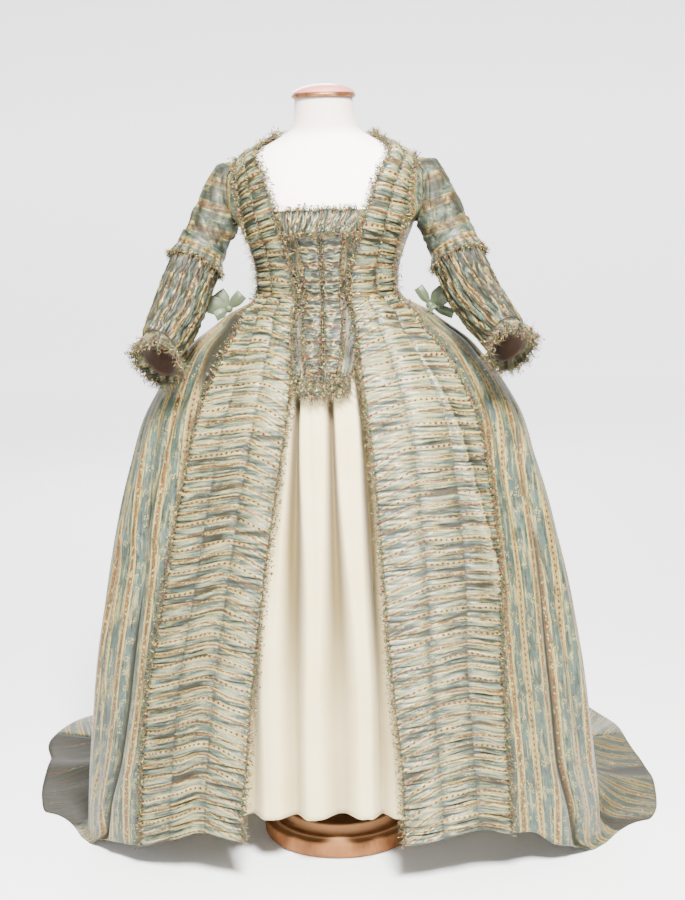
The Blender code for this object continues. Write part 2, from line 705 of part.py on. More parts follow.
def sack_out(mark, z):
    """How far the hanging pleats stand off the body or the skirt surface."""
    return Vector((0, SACK_BULGE.at("bulge", z) * (1 - mark * mark) ** .5 + pleat_height(mark, z), 0))


def make_sack_back():
    columns = []
    for mark in reversed(PLEAT_MARKS):
        upper = [on_section(BODY, sack_turn(mark, z), z, SACK_STAND_OFF) + sack_out(mark, z)
                 for z in SACK_LEVELS]
        column = skirt_column(lambda z, m=mark: sack_turn(m, z))
        wall = len(WALL_SHARES)
        for index in range(wall):
            z = column[index].z
            over = on_section(BODY, sack_turn(mark, z), WAIST_Z, .0028 * (1 - fade(z, 1.04, .98)))
            under = on_section(BODY, sack_turn(mark, z), WAIST_Z)
            column[index] = column[index] + sack_out(mark, z) + (over - under)
        columns.append(upper + column)
    cloth("sack_back", Grid([list(row) for row in zip(*columns)]), SILK)


# ------------------------------------------------------------------ sleeves
SLEEVE_SIDES = 16
ELBOW_FLARE = (.0018, .0018, .0015, .0066)   # how far each row of the elbow band stands off the sleeve


def ring(table, share, sign, out=0.0, along=0.0):
    """One ring of a sleeve, its first point outermost."""
    centre = Vector((table.at("x", share), table.at("y", share), table.at("z", share)))
    dip = math.radians(table.at("dip", share))
    axis = Vector((math.cos(dip), -table.at("lean", share), -math.sin(dip))).normalized()
    across = (Vector((1, 0, 0)) - axis * axis.x).normalized()
    deep = axis.cross(across)
    points = []
    for k in range(SLEEVE_SIDES):
        angle = math.tau * k / SLEEVE_SIDES
        point = (centre + across * (math.cos(angle) * (table.at("across", share) + out))
                 + deep * (math.sin(angle) * (table.at("depth", share) + out)) + axis * along)
        points.append(Vector((point.x * sign, point.y, point.z)))
    return points if sign > 0 else [points[0]] + list(reversed(points[1:]))


def armhole_ring(sign):
    """The sleeve's first ring, just off the side of the bodice."""
    points = []
    for point in ring(UPPER_SLEEVE, 0, 1):
        half = BODY.at("half", point.z)
        deep = BODY.at("front" if point.y < 0 else "back", point.z)
        x = half * math.sqrt(1 - (point.y / deep) ** 2) + .0015
        points.append(Vector((x * sign, point.y, point.z)))
    return points if sign > 0 else [points[0]] + list(reversed(points[1:]))


def make_sleeve(sign, side, lower_table):
    rings = [armhole_ring(sign)] + [ring(UPPER_SLEEVE, share, sign) for share in (.16, .38, .6, .8, 1.0)]
    cloth("sleeve_upper_" + side, Grid(rings, closed=True), SILK)
    rows = 12
    lower = Grid([ring(lower_table, i / rows, sign) for i in range(rows + 1)], closed=True)

    def gather(i, j):
        return SLEEVE_GATHER * (1 if (i + j) % 2 else -1) if 0 < i < rows else 0.0

    cloth("sleeve_lower_" + side, lower.lifted(gather), TRIM, TRIM_WALL)
    upper_edge = [a.lerp(b, .45) for a, b in zip(rings[-2], rings[-1])]
    inner = Grid([upper_edge, rings[-1], lower.rows[0], lower.rows[1]], closed=True)
    band = inner.lifted(lambda i, j: -ELBOW_FLARE[i] - (.001 if j % 2 and i == 3 else 0))
    cloth("elbow_band_" + side, band, TRIM, TRIM_WALL)
    mouth = Grid([ring(lower_table, 1.0, sign, out, along) for out, along in (
        (.0002, .0018), (.009, .0065), (.017, .0090))], closed=True)
    cuff = mouth.lifted(lambda i, j: CUFF_WAVE * i * (1 if j % 2 else -1))
    cloth("cuff_frill_" + side, cuff, TRIM, TRIM_WALL)
    lining = Grid([ring(lower_table, share, sign, out) for share, out in (
        (.70, -.0066), (.80, -.0066), (.90, -.0064), (1.0, -.0018))], closed=True)
    cloth("cuff_lining_" + side, lining, LINING, LINING_WALL)
    outs = [-out for out in band.normals()[3]]
    fringe("elbow_fringe_" + side, band.rows[3], outs, TRIM_WALL + SEAM, SHORT_TASSEL, True)
    fringe("cuff_fringe_" + side, cuff.rows[2], [(p - q).normalized() for p, q in zip(
        cuff.rows[2], cuff.rows[1])], SEAM * 1.5, LONG_TASSEL, True)


# ------------------------------------------------------------------ fringe
def fringe_stations(points, outs, closed):
    """Points along an edge and halfway between them, each with its ways out and along."""
    count = len(points)
    cells = count if closed else count - 1
    for k in range(cells * 2 + (0 if closed else 1)):
        a, b = k // 2, (k // 2 + 1) % count
        share = .5 * (k % 2)
        point, out = points[a].lerp(points[b], share), outs[a].lerp(outs[b], share).normalized()
        along = points[b] - points[a] if k // 2 < cells else points[a] - points[a - 1]
        yield k, point if share else points[a], out if share else outs[a].normalized(), along.normalized()


def fringe(name, points, outs, gap, length, closed):
    """Tapered tassels along a narrow three-sided strip that lies just off a cloth edge."""
    work = bmesh.new()
    root = FRINGE_ROOT
    rails = []
    for k, point, out, along in fringe_stations(points, outs, closed):
        side = out.cross(along).normalized()
        base = point + out * gap
        rails.append([work.verts.new(base - side * root * .5), work.verts.new(base + side * root * .5),
                      work.verts.new(base + out * root)])
        if k % 2 == 0 and (closed or k < 2 * len(points) - 2):
            sway = .35 * math.sin(2.3 * k)
            rails[-1].append(base + out * length * (1 + .15 * math.sin(1.3 * k)) + side * root * sway
                             + Vector((0, 0, -length * .2)) + along * root)
    for k in range(len(rails) if closed else len(rails) - 1):
        fringe_faces(work, rails[k], rails[(k + 1) % len(rails)])
    if not closed:
        work.faces.new(rails[0][:3])
        work.faces.new(list(reversed(rails[-1][:3])))
    bmesh.ops.recalc_face_normals(work, faces=work.faces[:])
    add_mesh(name, work, FRINGE)


def fringe_faces(work, now, then):
    """One stretch of the strip, with a tassel on its outer side where the first end has a tip."""
    work.faces.new((now[0], then[0], then[1], now[1]))
    work.faces.new((now[2], then[2], then[0], now[0]))
    corners = [now[1], then[1], then[2], now[2]]
    if len(now) < 4:
        work.faces.new(corners)
        return
    tip = work.verts.new(now[3])
    for a, b in zip(corners, corners[1:] + corners[:1]):
        work.faces.new((a, b, tip))


def skirt_fringe(front, side):
    """Tassels down the opening edge of a skirt front."""
    column = 0 if side == "right" else len(front.rows[0]) - 1
    inward = 1 if side == "right" else -1
    rows = front.rows[5:-1]
    edge = [row[column] for row in rows]
    outs = [(row[column] - row[column + inward]).normalized() for row in rows]
    fringe("opening_fringe_" + side, edge, outs, SEAM * 1.2, SHORT_TASSEL, False)


# ------------------------------------------------------------------ hip bows
# each loop or tail: how far its tip reaches out, forward and up from the knot, and its width
LEFT_LEAVES = ((.036, .004, .008, .030), (.022, -.008, .031, .022), (-.027, .002, .029, .016),
               (.022, .012, -.013, .014))
RIGHT_LEAVES = ((.027, .002, .026, .026), (-.022, .002, .034, .014), (.043, .004, -.017, .012),
                (.004, .020, -.002, .012))
BOW_HEIGHT = 1.022
BOW_LEAN = (.54, 0, .84)     # the way a bow stands off the hip, on the +X side
KNOT_RADIUS = 0.0095
KNOT_SEAT = 0.0008           # how far the knot sits into its place


def leaf(name, length, width):
    """A soft closed loop or tail end of ribbon, pointing along +X."""
    work = bmesh.new()
    bmesh.ops.create_uvsphere(work, u_segments=6, v_segments=4, radius=1.0)
    for vert in work.verts:
        x, y, z = vert.co
        cup = .010 * y * y - .006 * x * x
        vert.co = Vector(((x + 1) * length * .5, y * width * .5 * (1.15 + .35 * x), z * .0045 + cup))
    item = add_mesh(name, work, RIBBON)
    GOWN.objects.unlink(item)
    CUTTERS.objects.link(item)
    item.hide_render = True
    item.display_type = "WIRE"
    return item


def make_bow(side, sign, leaves):
    lean = Vector((BOW_LEAN[0] * sign, BOW_LEAN[1], BOW_LEAN[2]))
    centre = on_section(SKIRT, 90 * sign, BOW_HEIGHT) + lean * (KNOT_RADIUS - KNOT_SEAT)
    work = bmesh.new()
    bmesh.ops.create_uvsphere(work, u_segments=8, v_segments=4, radius=KNOT_RADIUS)
    knot = add_mesh("hip_bow_" + side, work, RIBBON)
    knot.location = centre
    for index, (out, forward, up, width) in enumerate(leaves):
        tip = Vector((out * sign, -forward, up))
        piece = leaf("leaf_%s_%d" % (side, index), tip.length, width)
        along = tip.normalized()
        flat = (Vector((0, -1, 0)) + along * along.y).normalized()
        lay = Matrix((along, flat.cross(along), flat)).transposed().to_4x4()
        piece.matrix_world = Matrix.Translation(centre) @ lay
        join = knot.modifiers.new("leaf %d" % index, "BOOLEAN")
        join.operation = "UNION"
        join.object = piece


# ------------------------------------------------------------------ the whole
clear_scene()
GOWN = new_collection("robe_a_la_francaise")
CUTTERS = new_collection("cutters", hidden=True)
SILK = finish("striped_silk", (.62, .66, .60), .42)
TRIM = finish("ruched_silk", (.55, .62, .56), .48)
LINEN = finish("cream_petticoat", (.84, .79, .68), .62)
LINING = finish("brown_lining", (.36, .22, .12), .75)
RIBBON = finish("hip_bow_silk", (.50, .56, .50), .40)
FRINGE = finish("fly_fringe", (.62, .50, .34), .70)
JERSEY = finish("white_jersey", (.86, .85, .83), .80)
CAP = finish("pink_cap", (.86, .66, .64), .35)
GILT = finish("gilt_rim", (.62, .46, .28), .40, .6)
WOOD = finish("turned_wood", (.66, .44, .29), .42)
STEEL = finish("pole_steel", (.55, .55, .55), .35, .9)
make_stand()
make_form()
make_cap()
make_petticoat()
make_bodice()
make_stomacher()
make_frills()
make_skirts()
make_sack_back()
make_sleeve(1, "right", RIGHT_LOWER)
make_sleeve(-1, "left", LEFT_LOWER)
make_bow("right", 1, RIGHT_LEAVES)
make_bow("left", -1, LEFT_LEAVES)
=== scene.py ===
# %% [markdown]
# # A robe à la française on its form
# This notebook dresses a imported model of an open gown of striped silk. The real gown has a
# plain back that falls from the neckline, a front covered in ruched bands of its own cloth,
# and a plain cream petticoat. The solids that come with the model are thick, plain stand-ins.
# Here each of them gets a finer piece of cloth on the same form, with real folds and a weave.

# %% The frame
import math
from functools import partial

import bmesh
import bpy
import numpy as np
from mathutils import Matrix, Vector


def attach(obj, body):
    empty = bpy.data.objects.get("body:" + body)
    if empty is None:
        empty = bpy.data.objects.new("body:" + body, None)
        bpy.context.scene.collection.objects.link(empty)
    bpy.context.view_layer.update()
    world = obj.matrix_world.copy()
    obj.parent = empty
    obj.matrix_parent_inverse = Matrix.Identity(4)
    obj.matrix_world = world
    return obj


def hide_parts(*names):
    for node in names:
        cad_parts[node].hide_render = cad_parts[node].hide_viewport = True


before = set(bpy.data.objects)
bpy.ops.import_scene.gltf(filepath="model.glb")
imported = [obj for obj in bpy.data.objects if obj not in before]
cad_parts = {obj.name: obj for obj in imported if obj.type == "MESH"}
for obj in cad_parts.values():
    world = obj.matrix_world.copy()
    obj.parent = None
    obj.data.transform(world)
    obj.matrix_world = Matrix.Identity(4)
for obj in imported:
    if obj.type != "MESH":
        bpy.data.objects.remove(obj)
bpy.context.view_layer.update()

print("nodes:", len(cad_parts))

# %% [markdown]
# ## The view
# A camera in Blender looks along its own -Z axis. We give it a long lens, because studio
# pictures of dresses are taken from a distance, and turn it by three vectors that we work out:
# right, up and forward. A tiny roll leans the view a little, as on a stand set by hand.

# %% Camera
FRAME_WIDTH = 685
FOCAL_PIXELS = 1524.0
SENSOR = 36.0
PITCH, ROLL, TURN = (math.radians(a) for a in (9.8, 1.4, 5.0))
EYE = Vector((.019, -2.85, 1.25))


def look_down(place, pitch, roll, turn):
    """A camera matrix that looks along +Y, tips down by pitch, rolls, and walks round by turn."""
    forward = Vector((0, math.cos(pitch), -math.sin(pitch)))
    level, above = Vector((1, 0, 0)), Vector((0, math.sin(pitch), math.cos(pitch)))
    right = level * math.cos(roll) - above * math.sin(roll)
    up = level * math.sin(roll) + above * math.cos(roll)
    basis = Matrix((right, up, -forward)).transposed().to_4x4()
    return Matrix.Rotation(turn, 4, "Z") @ Matrix.Translation(place) @ basis


lens = bpy.data.cameras.new("portrait")
lens.sensor_fit, lens.sensor_width = "HORIZONTAL", SENSOR
lens.lens = SENSOR * FOCAL_PIXELS / FRAME_WIDTH
camera = bpy.data.objects.new("portrait", lens)
camera.matrix_world = look_down(EYE, PITCH, ROLL, TURN)
bpy.context.collection.objects.link(camera)
bpy.context.scene.camera = camera
print("lens", round(lens.lens, 1), "mm")

# %% [markdown]
# ## Smooth tables
# The form of the gown is held in short tables: at each height, how wide and how deep it is.
# A table that is read along a smooth curve gives a smooth surface, and a monotone cubic is
# used because it never swings past the sizes in the table.


# %% Table
class Table:
    """Named columns of sizes, read along a smooth curve at any key."""

    def __init__(self, names, *rows):
        self.names = names.split()
        self.data = np.array(sorted(rows), float)
        self.keys = self.data[:, 0]

    def at(self, name, key):
        values = self.data[:, self.names.index(name)]
        widths = np.diff(self.keys)
        steps = np.diff(values) / widths
        both = steps[:-1] * steps[1:]
        total = np.where(both > 0, steps[:-1] + steps[1:], 1.0)
        slopes = np.concatenate([steps[:1], np.where(both > 0, 2 * both / total, 0.0), steps[-1:]])
        key = np.clip(key, self.keys[0], self.keys[-1])
        low = np.clip(np.searchsorted(self.keys, key, side="right") - 1, 0, len(widths) - 1)
        s = (key - self.keys[low]) / widths[low]
        return ((2 * s**3 - 3 * s**2 + 1) * values[low]
                + (s**3 - 2 * s**2 + s) * slopes[low] * widths[low]
                + (3 * s**2 - 2 * s**3) * values[low + 1]
                + (s**3 - s**2) * slopes[low + 1] * widths[low])


# %% Sections of the body, the skirts and the petticoat
BODY = Table(
    "z half front back",
    (1.06, .13, .116, .085), (1.1, .133, .123, .087), (1.145, .146, .132, .09), (1.18, .16, .138, .093),
    (1.215, .167, .13, .095), (1.25, .169, .113, .095), (1.28, .166, .095, .092), (1.3, .158, .081, .088),
    (1.32, .133, .07, .082), (1.34, .092, .061, .075), (1.36, .063, .054, .062), (1.385, .054, .052, .058),
    (1.41, .053, .052, .056))
FORM_INSET = Table(
    "z inset drop",
    (1.06, .0088, .0), (1.15, .008, .0), (1.23, .006, .002), (1.28, .003, .0028), (1.345, .0018, .0028),
    (1.385, .0, .0), (1.41, .0, .0))
FORM_HIPS = Table(
    "z half front back",
    (.87, .095, .075, .075), (.876, .112, .086, .088), (.9, .13, .097, .102), (.94, .136, .103, .104),
    (.99, .129, .105, .092), (1.03, .1212, .1072, .0762), (1.06, .1212, .1072, .0762))
SKIRT = Table(
    "z half front back",
    (.0, .5, .291, .585), (.06, .496, .288, .555), (.14, .489, .283, .522), (.24, .478, .275, .488),
    (.34, .466, .264, .458), (.44, .45, .252, .43), (.54, .432, .238, .402), (.64, .41, .222, .372),
    (.74, .383, .204, .336), (.82, .36, .187, .3), (.88, .328, .172, .265), (.93, .292, .158, .225),
    (.965, .262, .146, .192), (1.0, .215, .133, .15), (1.02, .188, .126, .13), (1.045, .142, .119, .1),
    (1.06, .13, .116, .085))
PETTICOAT = Table(
    "z half front back",
    (.105, .425, .215, .37), (.3, .41, .207, .35), (.5, .385, .195, .32), (.7, .35, .18, .27),
    (.82, .318, .165, .23), (.9, .272, .15, .19), (.95, .222, .136, .155), (.99, .17, .124, .118),
    (1.015, .14, .116, .096), (1.03, .1242, .1102, .0792))
WAIST = 1.06

# %% [markdown]
# The hem and the edge of the train are tables too, read by the turn round the body: 0 degrees
# is the middle of the front, plus is towards +X, and 180 is the middle of the back.

# %% Hems, seams and folds
HEM = Table(
    "turn z",
    (-74, .0), (-70, .01), (-65, .025), (-46, .046), (-36, .073), (-28, .096), (-18, .088), (16, .086),
    (28, .097), (33, .102), (41, .087), (48, .079), (56, .041), (62, .028), (70, .01), (74, .0))
TRAIN_EDGE = Table(
    "turn x y",
    (-180, .0, .89), (-170, -.17, .878), (-158, -.36, .835), (-146, -.53, .755), (-134, -.65, .62),
    (-124, -.715, .45), (-115, -.68, .33), (-106, -.664, .213), (-98, -.643, .125), (-90, -.608, .052),
    (90, .6, .05), (98, .63, .125), (106, .636, .22), (115, .628, .34), (124, .605, .47), (134, .575, .62),
    (146, .5, .745), (158, .35, .835), (170, .17, .878), (180, .0, .89))
HEM_KICK = Table(
    "turn out",
    (58, .0), (68, .006), (74, .012), (84, .03), (90, .04))
LEFT_EDGES = Table(
    "z opening trim seam",
    (.0, 18.8, 45.8, 63), (.09, 18.8, 45.8, 61), (.2, 17.7, 45.8, 56), (.35, 16.6, 45.2, 53.5),
    (.53, 14.8, 42.5, 53), (.7, 12.6, 41.3, 57), (.88, 10.4, 40.3, 62), (.965, 12.5, 41, 70),
    (1.0, 15, 45, 74), (1.03, 18, 56, 78), (1.06, 21.5, 68, 80))
RIGHT_EDGES = Table(
    "z opening trim seam",
    (.0, 16.3, 41.3, 65), (.09, 16.3, 41.3, 63), (.2, 16.4, 41.5, 59.5), (.35, 15.2, 42, 60),
    (.53, 14.4, 45.5, 63), (.7, 14.1, 48.5, 67), (.88, 13.4, 50.2, 78), (.965, 14.5, 50, 82),
    (1.0, 16, 52, 84), (1.03, 19, 60, 86), (1.06, 21.5, 68, 88))
SIDE_BACK = Table(
    "z turn",
    (.0, 126), (.88, 128), (1.0, 136), (1.06, 139))
FOLDS = (
    (-79, 5, .008, .7), (-90, 4, -.012, .75), (-101, 5, .01, .8), (-112, 4, -.012, .8), (-120, 4, .01, .75),
    (-135, 5, .014, .8), (-148, 6, -.012, .8), (-162, 6, .014, .85), (82, 5, .01, .8), (92, 4, -.012, .8),
    (103, 5, .01, .75), (112, 4, -.012, .8), (120, 4, .01, .75), (136, 5, .014, .8), (149, 6, -.012, .8),
    (163, 6, .014, .85), (180, 7, .012, .85), (-180, 7, .012, .85))
TRAIN_RIDGES = (
    (-112, 4, .02), (-130, 5, .026), (-150, 6, .022), (-168, 5, .018), (108, 4, .018), (128, 5, .024),
    (146, 5, .022), (170, 6, .02))
WALL = .0015            # thickness of the gown's silk on its backing
RUCHED_WALL, FRILL_WALL, COTTON_WALL = .0008, .0007, .0012
SEAM = .0003            # gap at a seam
FOOT_BEND, TRAIN_BEND = .06, .24
TAIL_DROP, TRAIN_DROP = .07, .25

# %% [markdown]
# ## Points on a surface
# NumPy works on whole arrays at once, so each function below takes a whole sheet of turns and
# heights and gives back a whole sheet of points. That is many times faster than a loop.


# %% Small curves
def bump(distance, width):
    """A soft hill, 1 in the middle."""
    return np.exp(-(distance / width) ** 2)


def fade(value, start, full):
    """0 at start, 1 at full, with a soft start and end; full may be below start."""
    s = np.clip((value - start) / (full - start), 0, 1)
    return s * s * (3 - 2 * s)


def blend(a, b, share):
    return a + (b - a) * share


def unit(vectors):
    return vectors / np.maximum(np.linalg.norm(vectors, axis=-1, keepdims=True), 1e-12)


def within(value, start, full, last, end):
    """1 between full and last, with a soft rise from start and a soft fall to end."""
    return fade(value, start, full) * (1 - fade(value, last, end))


def corner_curve(start, corner, end, t):
    """A curve from start to end that bends towards the corner between them."""
    return start * (1 - t) ** 2 + corner * 2 * t * (1 - t) + end * t ** 2


def wander(x, y, seed=0):
    """Smooth noise from -1 to 1 over a plane, the same on each run."""
    def corner(i, j):
        wave = np.sin(i * 127.1 + j * 311.7 + seed * 74.7) * 43758.5453
        return wave - np.floor(wave)

    i, j = np.floor(x), np.floor(y)
    sx, sy = fade(x - i, 0, 1), fade(y - j, 0, 1)
    low = blend(corner(i, j), corner(i + 1, j), sx)
    high = blend(corner(i, j + 1), corner(i + 1, j + 1), sx)
    return 2 * blend(low, high, sy) - 1


def on_section(table, turn, z, out=0.0):
    """Points of an elliptical section at a turn from the front, moved out along the normal."""
    turn, z = np.broadcast_arrays(np.asarray(turn, float), np.asarray(z, float))
    angle = np.radians(turn)
    half = table.at("half", z)
    deep = np.where(np.cos(angle) > 0, table.at("front", z), table.at("back", z))
    flat = np.stack([deep * np.sin(angle), -half * np.cos(angle), np.zeros_like(z)], -1)
    point = np.stack([half * np.sin(angle), -deep * np.cos(angle), z], -1)
    return point + unit(flat) * np.asarray(out)[..., None]


# %% [markdown]
# ## The skirts' surface
# The gown's skirts hang from the waist over a wide hoop, and end in a short train at the back.
# One line down the skirt is a wall, and then a tail: at the front it just goes on to the hem,
# and at the back it bends out onto the floor. The folds are soft hills and troughs that are
# added to the wall at fixed turns. A few narrow creases are laid one by one where the cloth of
# the real gown is pushed or pulled: each has a turn, a slant, a width, a depth and two ends.

# %% Skirt walls
CREASES = (
    # turn, slant in degrees per metre, half width in degrees, depth, top, bottom
    (-43, -5, 1.8, -.014, .99, .62), (46, -17, 1.1, .005, 1.0, .55), (-57, 12, 1.6, -.006, .98, .4),
    (55, 10, 1.6, -.009, 1.02, .62), (-68, 6, 2.2, .006, .96, .2), (-74, -6, 1.8, -.006, .9, .1),
    (-85, 4, 2.0, .005, .88, .15), (-96, 0, 1.8, -.006, .85, .15), (-107, 3, 2.2, .006, .85, .1),
    (71, -8, 1.8, -.006, .93, .25), (77, -4, 2.0, .006, .9, .15), (87, -3, 2.0, -.006, .85, .15),
    (98, 2, 2.2, .006, .85, .1), (108, 3, 2.0, -.006, .85, .1), (-126, 2, 2.5, -.006, .8, .1),
    (126, 2, 2.5, -.006, .8, .1), (-30, 4, 3.0, -.003, .8, .15), (30, 3, 3.2, -.003, .8, .15),
    (39, -5, 2.2, .003, .7, .12), (-38, 5, 2.4, .003, .7, .12), (-156, 0, 3.0, -.008, .75, .05),
    (156, 0, 3.0, -.008, .75, .05), (-171, 0, 3.0, .008, .75, .05), (171, 0, 3.0, .008, .75, .05))


def edges_at(name, turn, z):
    """An edge of the panels on the side of each turn."""
    return np.where(turn < 0, LEFT_EDGES.at(name, z), RIGHT_EDGES.at(name, z))


def fold_depth(turn, z):
    seam = edges_at("seam", turn, z)
    depth = np.zeros(np.broadcast(turn, z).shape)
    for middle, width, deep, start in FOLDS:
        depth += deep * bump(turn - middle, width) * fade(z, start, start - .35)
    low = fade(z, .9, .7) * (abs(turn) < 120)
    depth -= .016 * bump(abs(turn) - seam - 2.6, 2.6) * low
    depth += .006 * bump(abs(turn) - seam + 4.0, 3.0) * low
    pocket = within(z, 1.052, 1.035, .97, .9) * (abs(turn) < 120)
    depth -= .012 * bump(abs(turn) - seam + 1.0, 2.4) * pocket
    for middle, slant, width, deep, start, end in CREASES:
        line = middle + slant * (z - .5)
        depth += deep * bump(turn - line, width) * fade(z, start, start - .2) * fade(z, end - .1, end + .1)
    return depth


def skirt_turn(points):
    """The turn at which each point of the skirts was laid."""
    x, y, z = points[..., 0], points[..., 1], points[..., 2]
    deep = np.where(y < 0, SKIRT.at("front", z), SKIRT.at("back", z))
    return np.degrees(np.arctan2(x / SKIRT.at("half", z), -y / deep))


def shade_in_folds(points, base=0.0):
    """Painted shade for each point of the skirts: in fold troughs, just behind each seam's fold, and beside
    each trim, deepest at the left hip.
    """
    turn = skirt_turn(points)
    z = points[..., 2]
    shade = base + .75 * fade(fold_depth(turn, z), -.002, -.015)
    past = abs(turn) - edges_at("seam", turn, z)
    shade = shade + .9 * (past > 0) * (1 - fade(past, .8, 7)) * fade(z, .86, .66) * (abs(turn) < 120)
    beside = abs(turn) - edges_at("trim", turn, z)
    wide = 1.6 + 6.0 * fade(z, .84, 1.0)
    strong = np.where(turn < 0, .45 + .75 * fade(z, .72, .86), .35)
    return shade + strong * bump(beside - .3 - wide, wide) * (abs(turn) < 88)


def hem_height(turn):
    return np.where(abs(turn) < 74, HEM.at("z", turn), 0.0)


def skirt_wall(turn, z):
    return on_section(SKIRT, turn, z, fold_depth(turn, z))


def on_train(turn):
    """0 where the hem just meets the floor, 1 where the train lies."""
    return fade(abs(turn), 92, 116)


def rounded(top, foot, edge, drop, run, radius, s):
    """Points at length s along top, foot, edge, with the corner at the foot rounded off."""
    down = (foot - top) / drop[:, None]
    out = (edge - foot) / np.maximum(run, 1e-9)[:, None]
    before = top + down * s[..., None]
    after = foot + out * (s - drop)[..., None]
    t = np.clip((s - drop + radius) / (2 * np.maximum(radius, 1e-9)), 0, 1)[..., None]
    reach = radius[:, None]
    curve = corner_curve(foot - down * reach, foot, foot + out * reach, t)
    near = (abs(s - drop) < radius)[..., None]
    return np.where(near, curve, np.where((s <= drop)[..., None], before, after))


def skirt_tail(turn, top, rows):
    """The last stretch of the skirts, for one row of turns, from the points where it starts."""
    hem = hem_height(turn)
    floor = np.maximum(hem, WALL)
    foot = skirt_wall(turn, floor)
    kick = on_section(SKIRT, turn, floor, HEM_KICK.at("out", abs(turn)) + .0005)
    train = np.stack([TRAIN_EDGE.at("x", turn), TRAIN_EDGE.at("y", turn), floor], -1)
    edge = blend(kick, train, fade(abs(turn), 79, 91)[:, None])
    drop = np.linalg.norm(foot - top, axis=-1)
    run = np.linalg.norm(edge - foot, axis=-1)
    bend = blend(FOOT_BEND, TRAIN_BEND, on_train(turn))
    radius = np.minimum(np.minimum(bend, run * .85), drop * .95)
    s = np.linspace(0, 1, rows + 1)[1:, None] * (drop + run)
    points = rounded(top, foot, edge, drop, run, radius, s)
    share = np.clip((s - drop * .6) / (run + drop * .4), 0, 1)
    ridge = sum(high * bump(turn - middle, width) for middle, width, high in TRAIN_RIDGES)
    points[..., 2] += ridge * np.sin(math.pi * np.minimum(share * .85, 1.0))
    return points


def skirt_sheet(turn_of, shares, wall_rows, tail_rows=40):
    """A whole panel of the skirts. turn_of(z, share) gives the turn of each of its lines."""
    shares = np.asarray(shares, float)
    foot_turn = turn_of(np.full(shares.shape, .05), shares)
    low = hem_height(foot_turn) + blend(TAIL_DROP, TRAIN_DROP, on_train(foot_turn))
    down = np.linspace(0, 1, wall_rows)[:, None] ** 1.3
    z = WAIST - SEAM + (low - (WAIST - SEAM)) * down
    wall = skirt_wall(turn_of(z, shares), z)
    tail = skirt_tail(turn_of(low, shares), wall[-1], tail_rows)
    return np.concatenate([wall, tail])


print("skirt is", round(2 * float(SKIRT.at("half", .3)), 3), "m wide at the knee")

# %% [markdown]
# ## Shader sums
# A shader is a graph of nodes, but a pattern is easier to read as a sum. This small class wraps
# one socket, and Python's own operators add the Math nodes. Any other node comes from `node`:
# its kind, then its settings, then what goes into its sockets.


# %% Sums on sockets
class Socket:
    """An output of a node that can be used in Python sums."""

    def __init__(self, tree, socket=None):
        self.tree = tree
        self.socket = socket

    def node(self, kind, settings=None, inputs=None, output=0):
        item = self.tree.nodes.new(kind)
        for key, value in (settings or {}).items():
            if key == "stops":
                ramp = item.color_ramp
                ramp.interpolation = "CONSTANT"
                while len(ramp.elements) < len(value):
                    ramp.elements.new(1.0)
                for stop, (place, shade) in zip(ramp.elements, value):
                    stop.position, stop.color = place, (*colour(*shade), 1.0)
            else:
                setattr(item, key, value)
        for key, value in (inputs or {}).items():
            if isinstance(value, Socket):
                self.tree.links.new(value.socket, item.inputs[key])
            else:
                item.inputs[key].default_value = value
        return Socket(self.tree, item.outputs[output])

    def out(self, name):
        return Socket(self.tree, self.socket.node.outputs[name])

    def parts(self, kind="XYZ"):
        return self.node("ShaderNodeSeparate" + kind, {}, {0: self})

    def math(self, operation, *values):
        return self.node("ShaderNodeMath", {"operation": operation}, dict(enumerate(values)))

    def __abs__(self):
        return self.math("ABSOLUTE", self)

    def between(self, start, full):
        """0 at start and 1 at full, with a soft start and end."""
        if full < start:
            return 1 - self.between(full, start)
        return self.node("ShaderNodeMapRange", {"interpolation_type": "SMOOTHSTEP"},
                         {"Value": self, "From Min": start, "From Max": full})


def operators(**operations):
    """Gives the class each Python operator, and its reflected form for a number on the left."""
    for name, kind in operations.items():
        setattr(Socket, f"__{name}__", lambda self, other, kind=kind: self.math(kind, self, other))
        setattr(Socket, f"__r{name}__", lambda self, other, kind=kind: self.math(kind, other, self))


operators(add="ADD", sub="SUBTRACT", mul="MULTIPLY", truediv="DIVIDE", mod="FLOORED_MODULO", pow="POWER")


def mixed(share, first, second):
    """A colour between two, each a socket or three numbers."""
    ends = {6: first, 7: second}
    ends = {key: (*value, 1.0) if isinstance(value, tuple) else value for key, value in ends.items()}
    return share.node("ShaderNodeMix", {"data_type": "RGBA"}, {0: share, **ends}, output=2)


def colour(*levels):
    """Screen colour from 0 to 255 as the light values that shaders use."""
    return tuple(((c / 255 + .055) / 1.055) ** 2.4 if c > 10 else c / 3295 for c in levels)


FINISH = {}


def finish(name, **constants):
    """A new material with its shader's constants set. Gives back a socket to build with."""
    material = FINISH[name] = bpy.data.materials.new(name)
    material.use_nodes = True
    shader = material.node_tree.nodes["Principled BSDF"]
    for key, value in constants.items():
        shader.inputs[key.replace("_", " ")].default_value = value
    return Socket(material.node_tree, shader.outputs[0])


def feed(start, **links):
    for key, value in links.items():
        start.tree.links.new(value.socket, start.socket.node.inputs[key.replace("_", " ")])


def object_places(start):
    return start.node("ShaderNodeTexCoord", output="Object")


def cloth_places(start):
    """The place on the cloth in metres, and how much painted shade it gets there."""
    pair = start.node("ShaderNodeUVMap", {"uv_map": "cloth"})
    return pair, start.node("ShaderNodeAttribute", {"attribute_name": "valley"}, output="Fac")


def noise(pair, scale, detail=2.0, rough=.55, stretch=(1.0, 1.0, 1.0)):
    laid = pair.node("ShaderNodeMapping", {}, {"Vector": pair, "Scale": stretch})
    return pair.node("ShaderNodeTexNoise", {}, {"Vector": laid, "Scale": scale, "Detail": detail,
                                                "Roughness": rough})


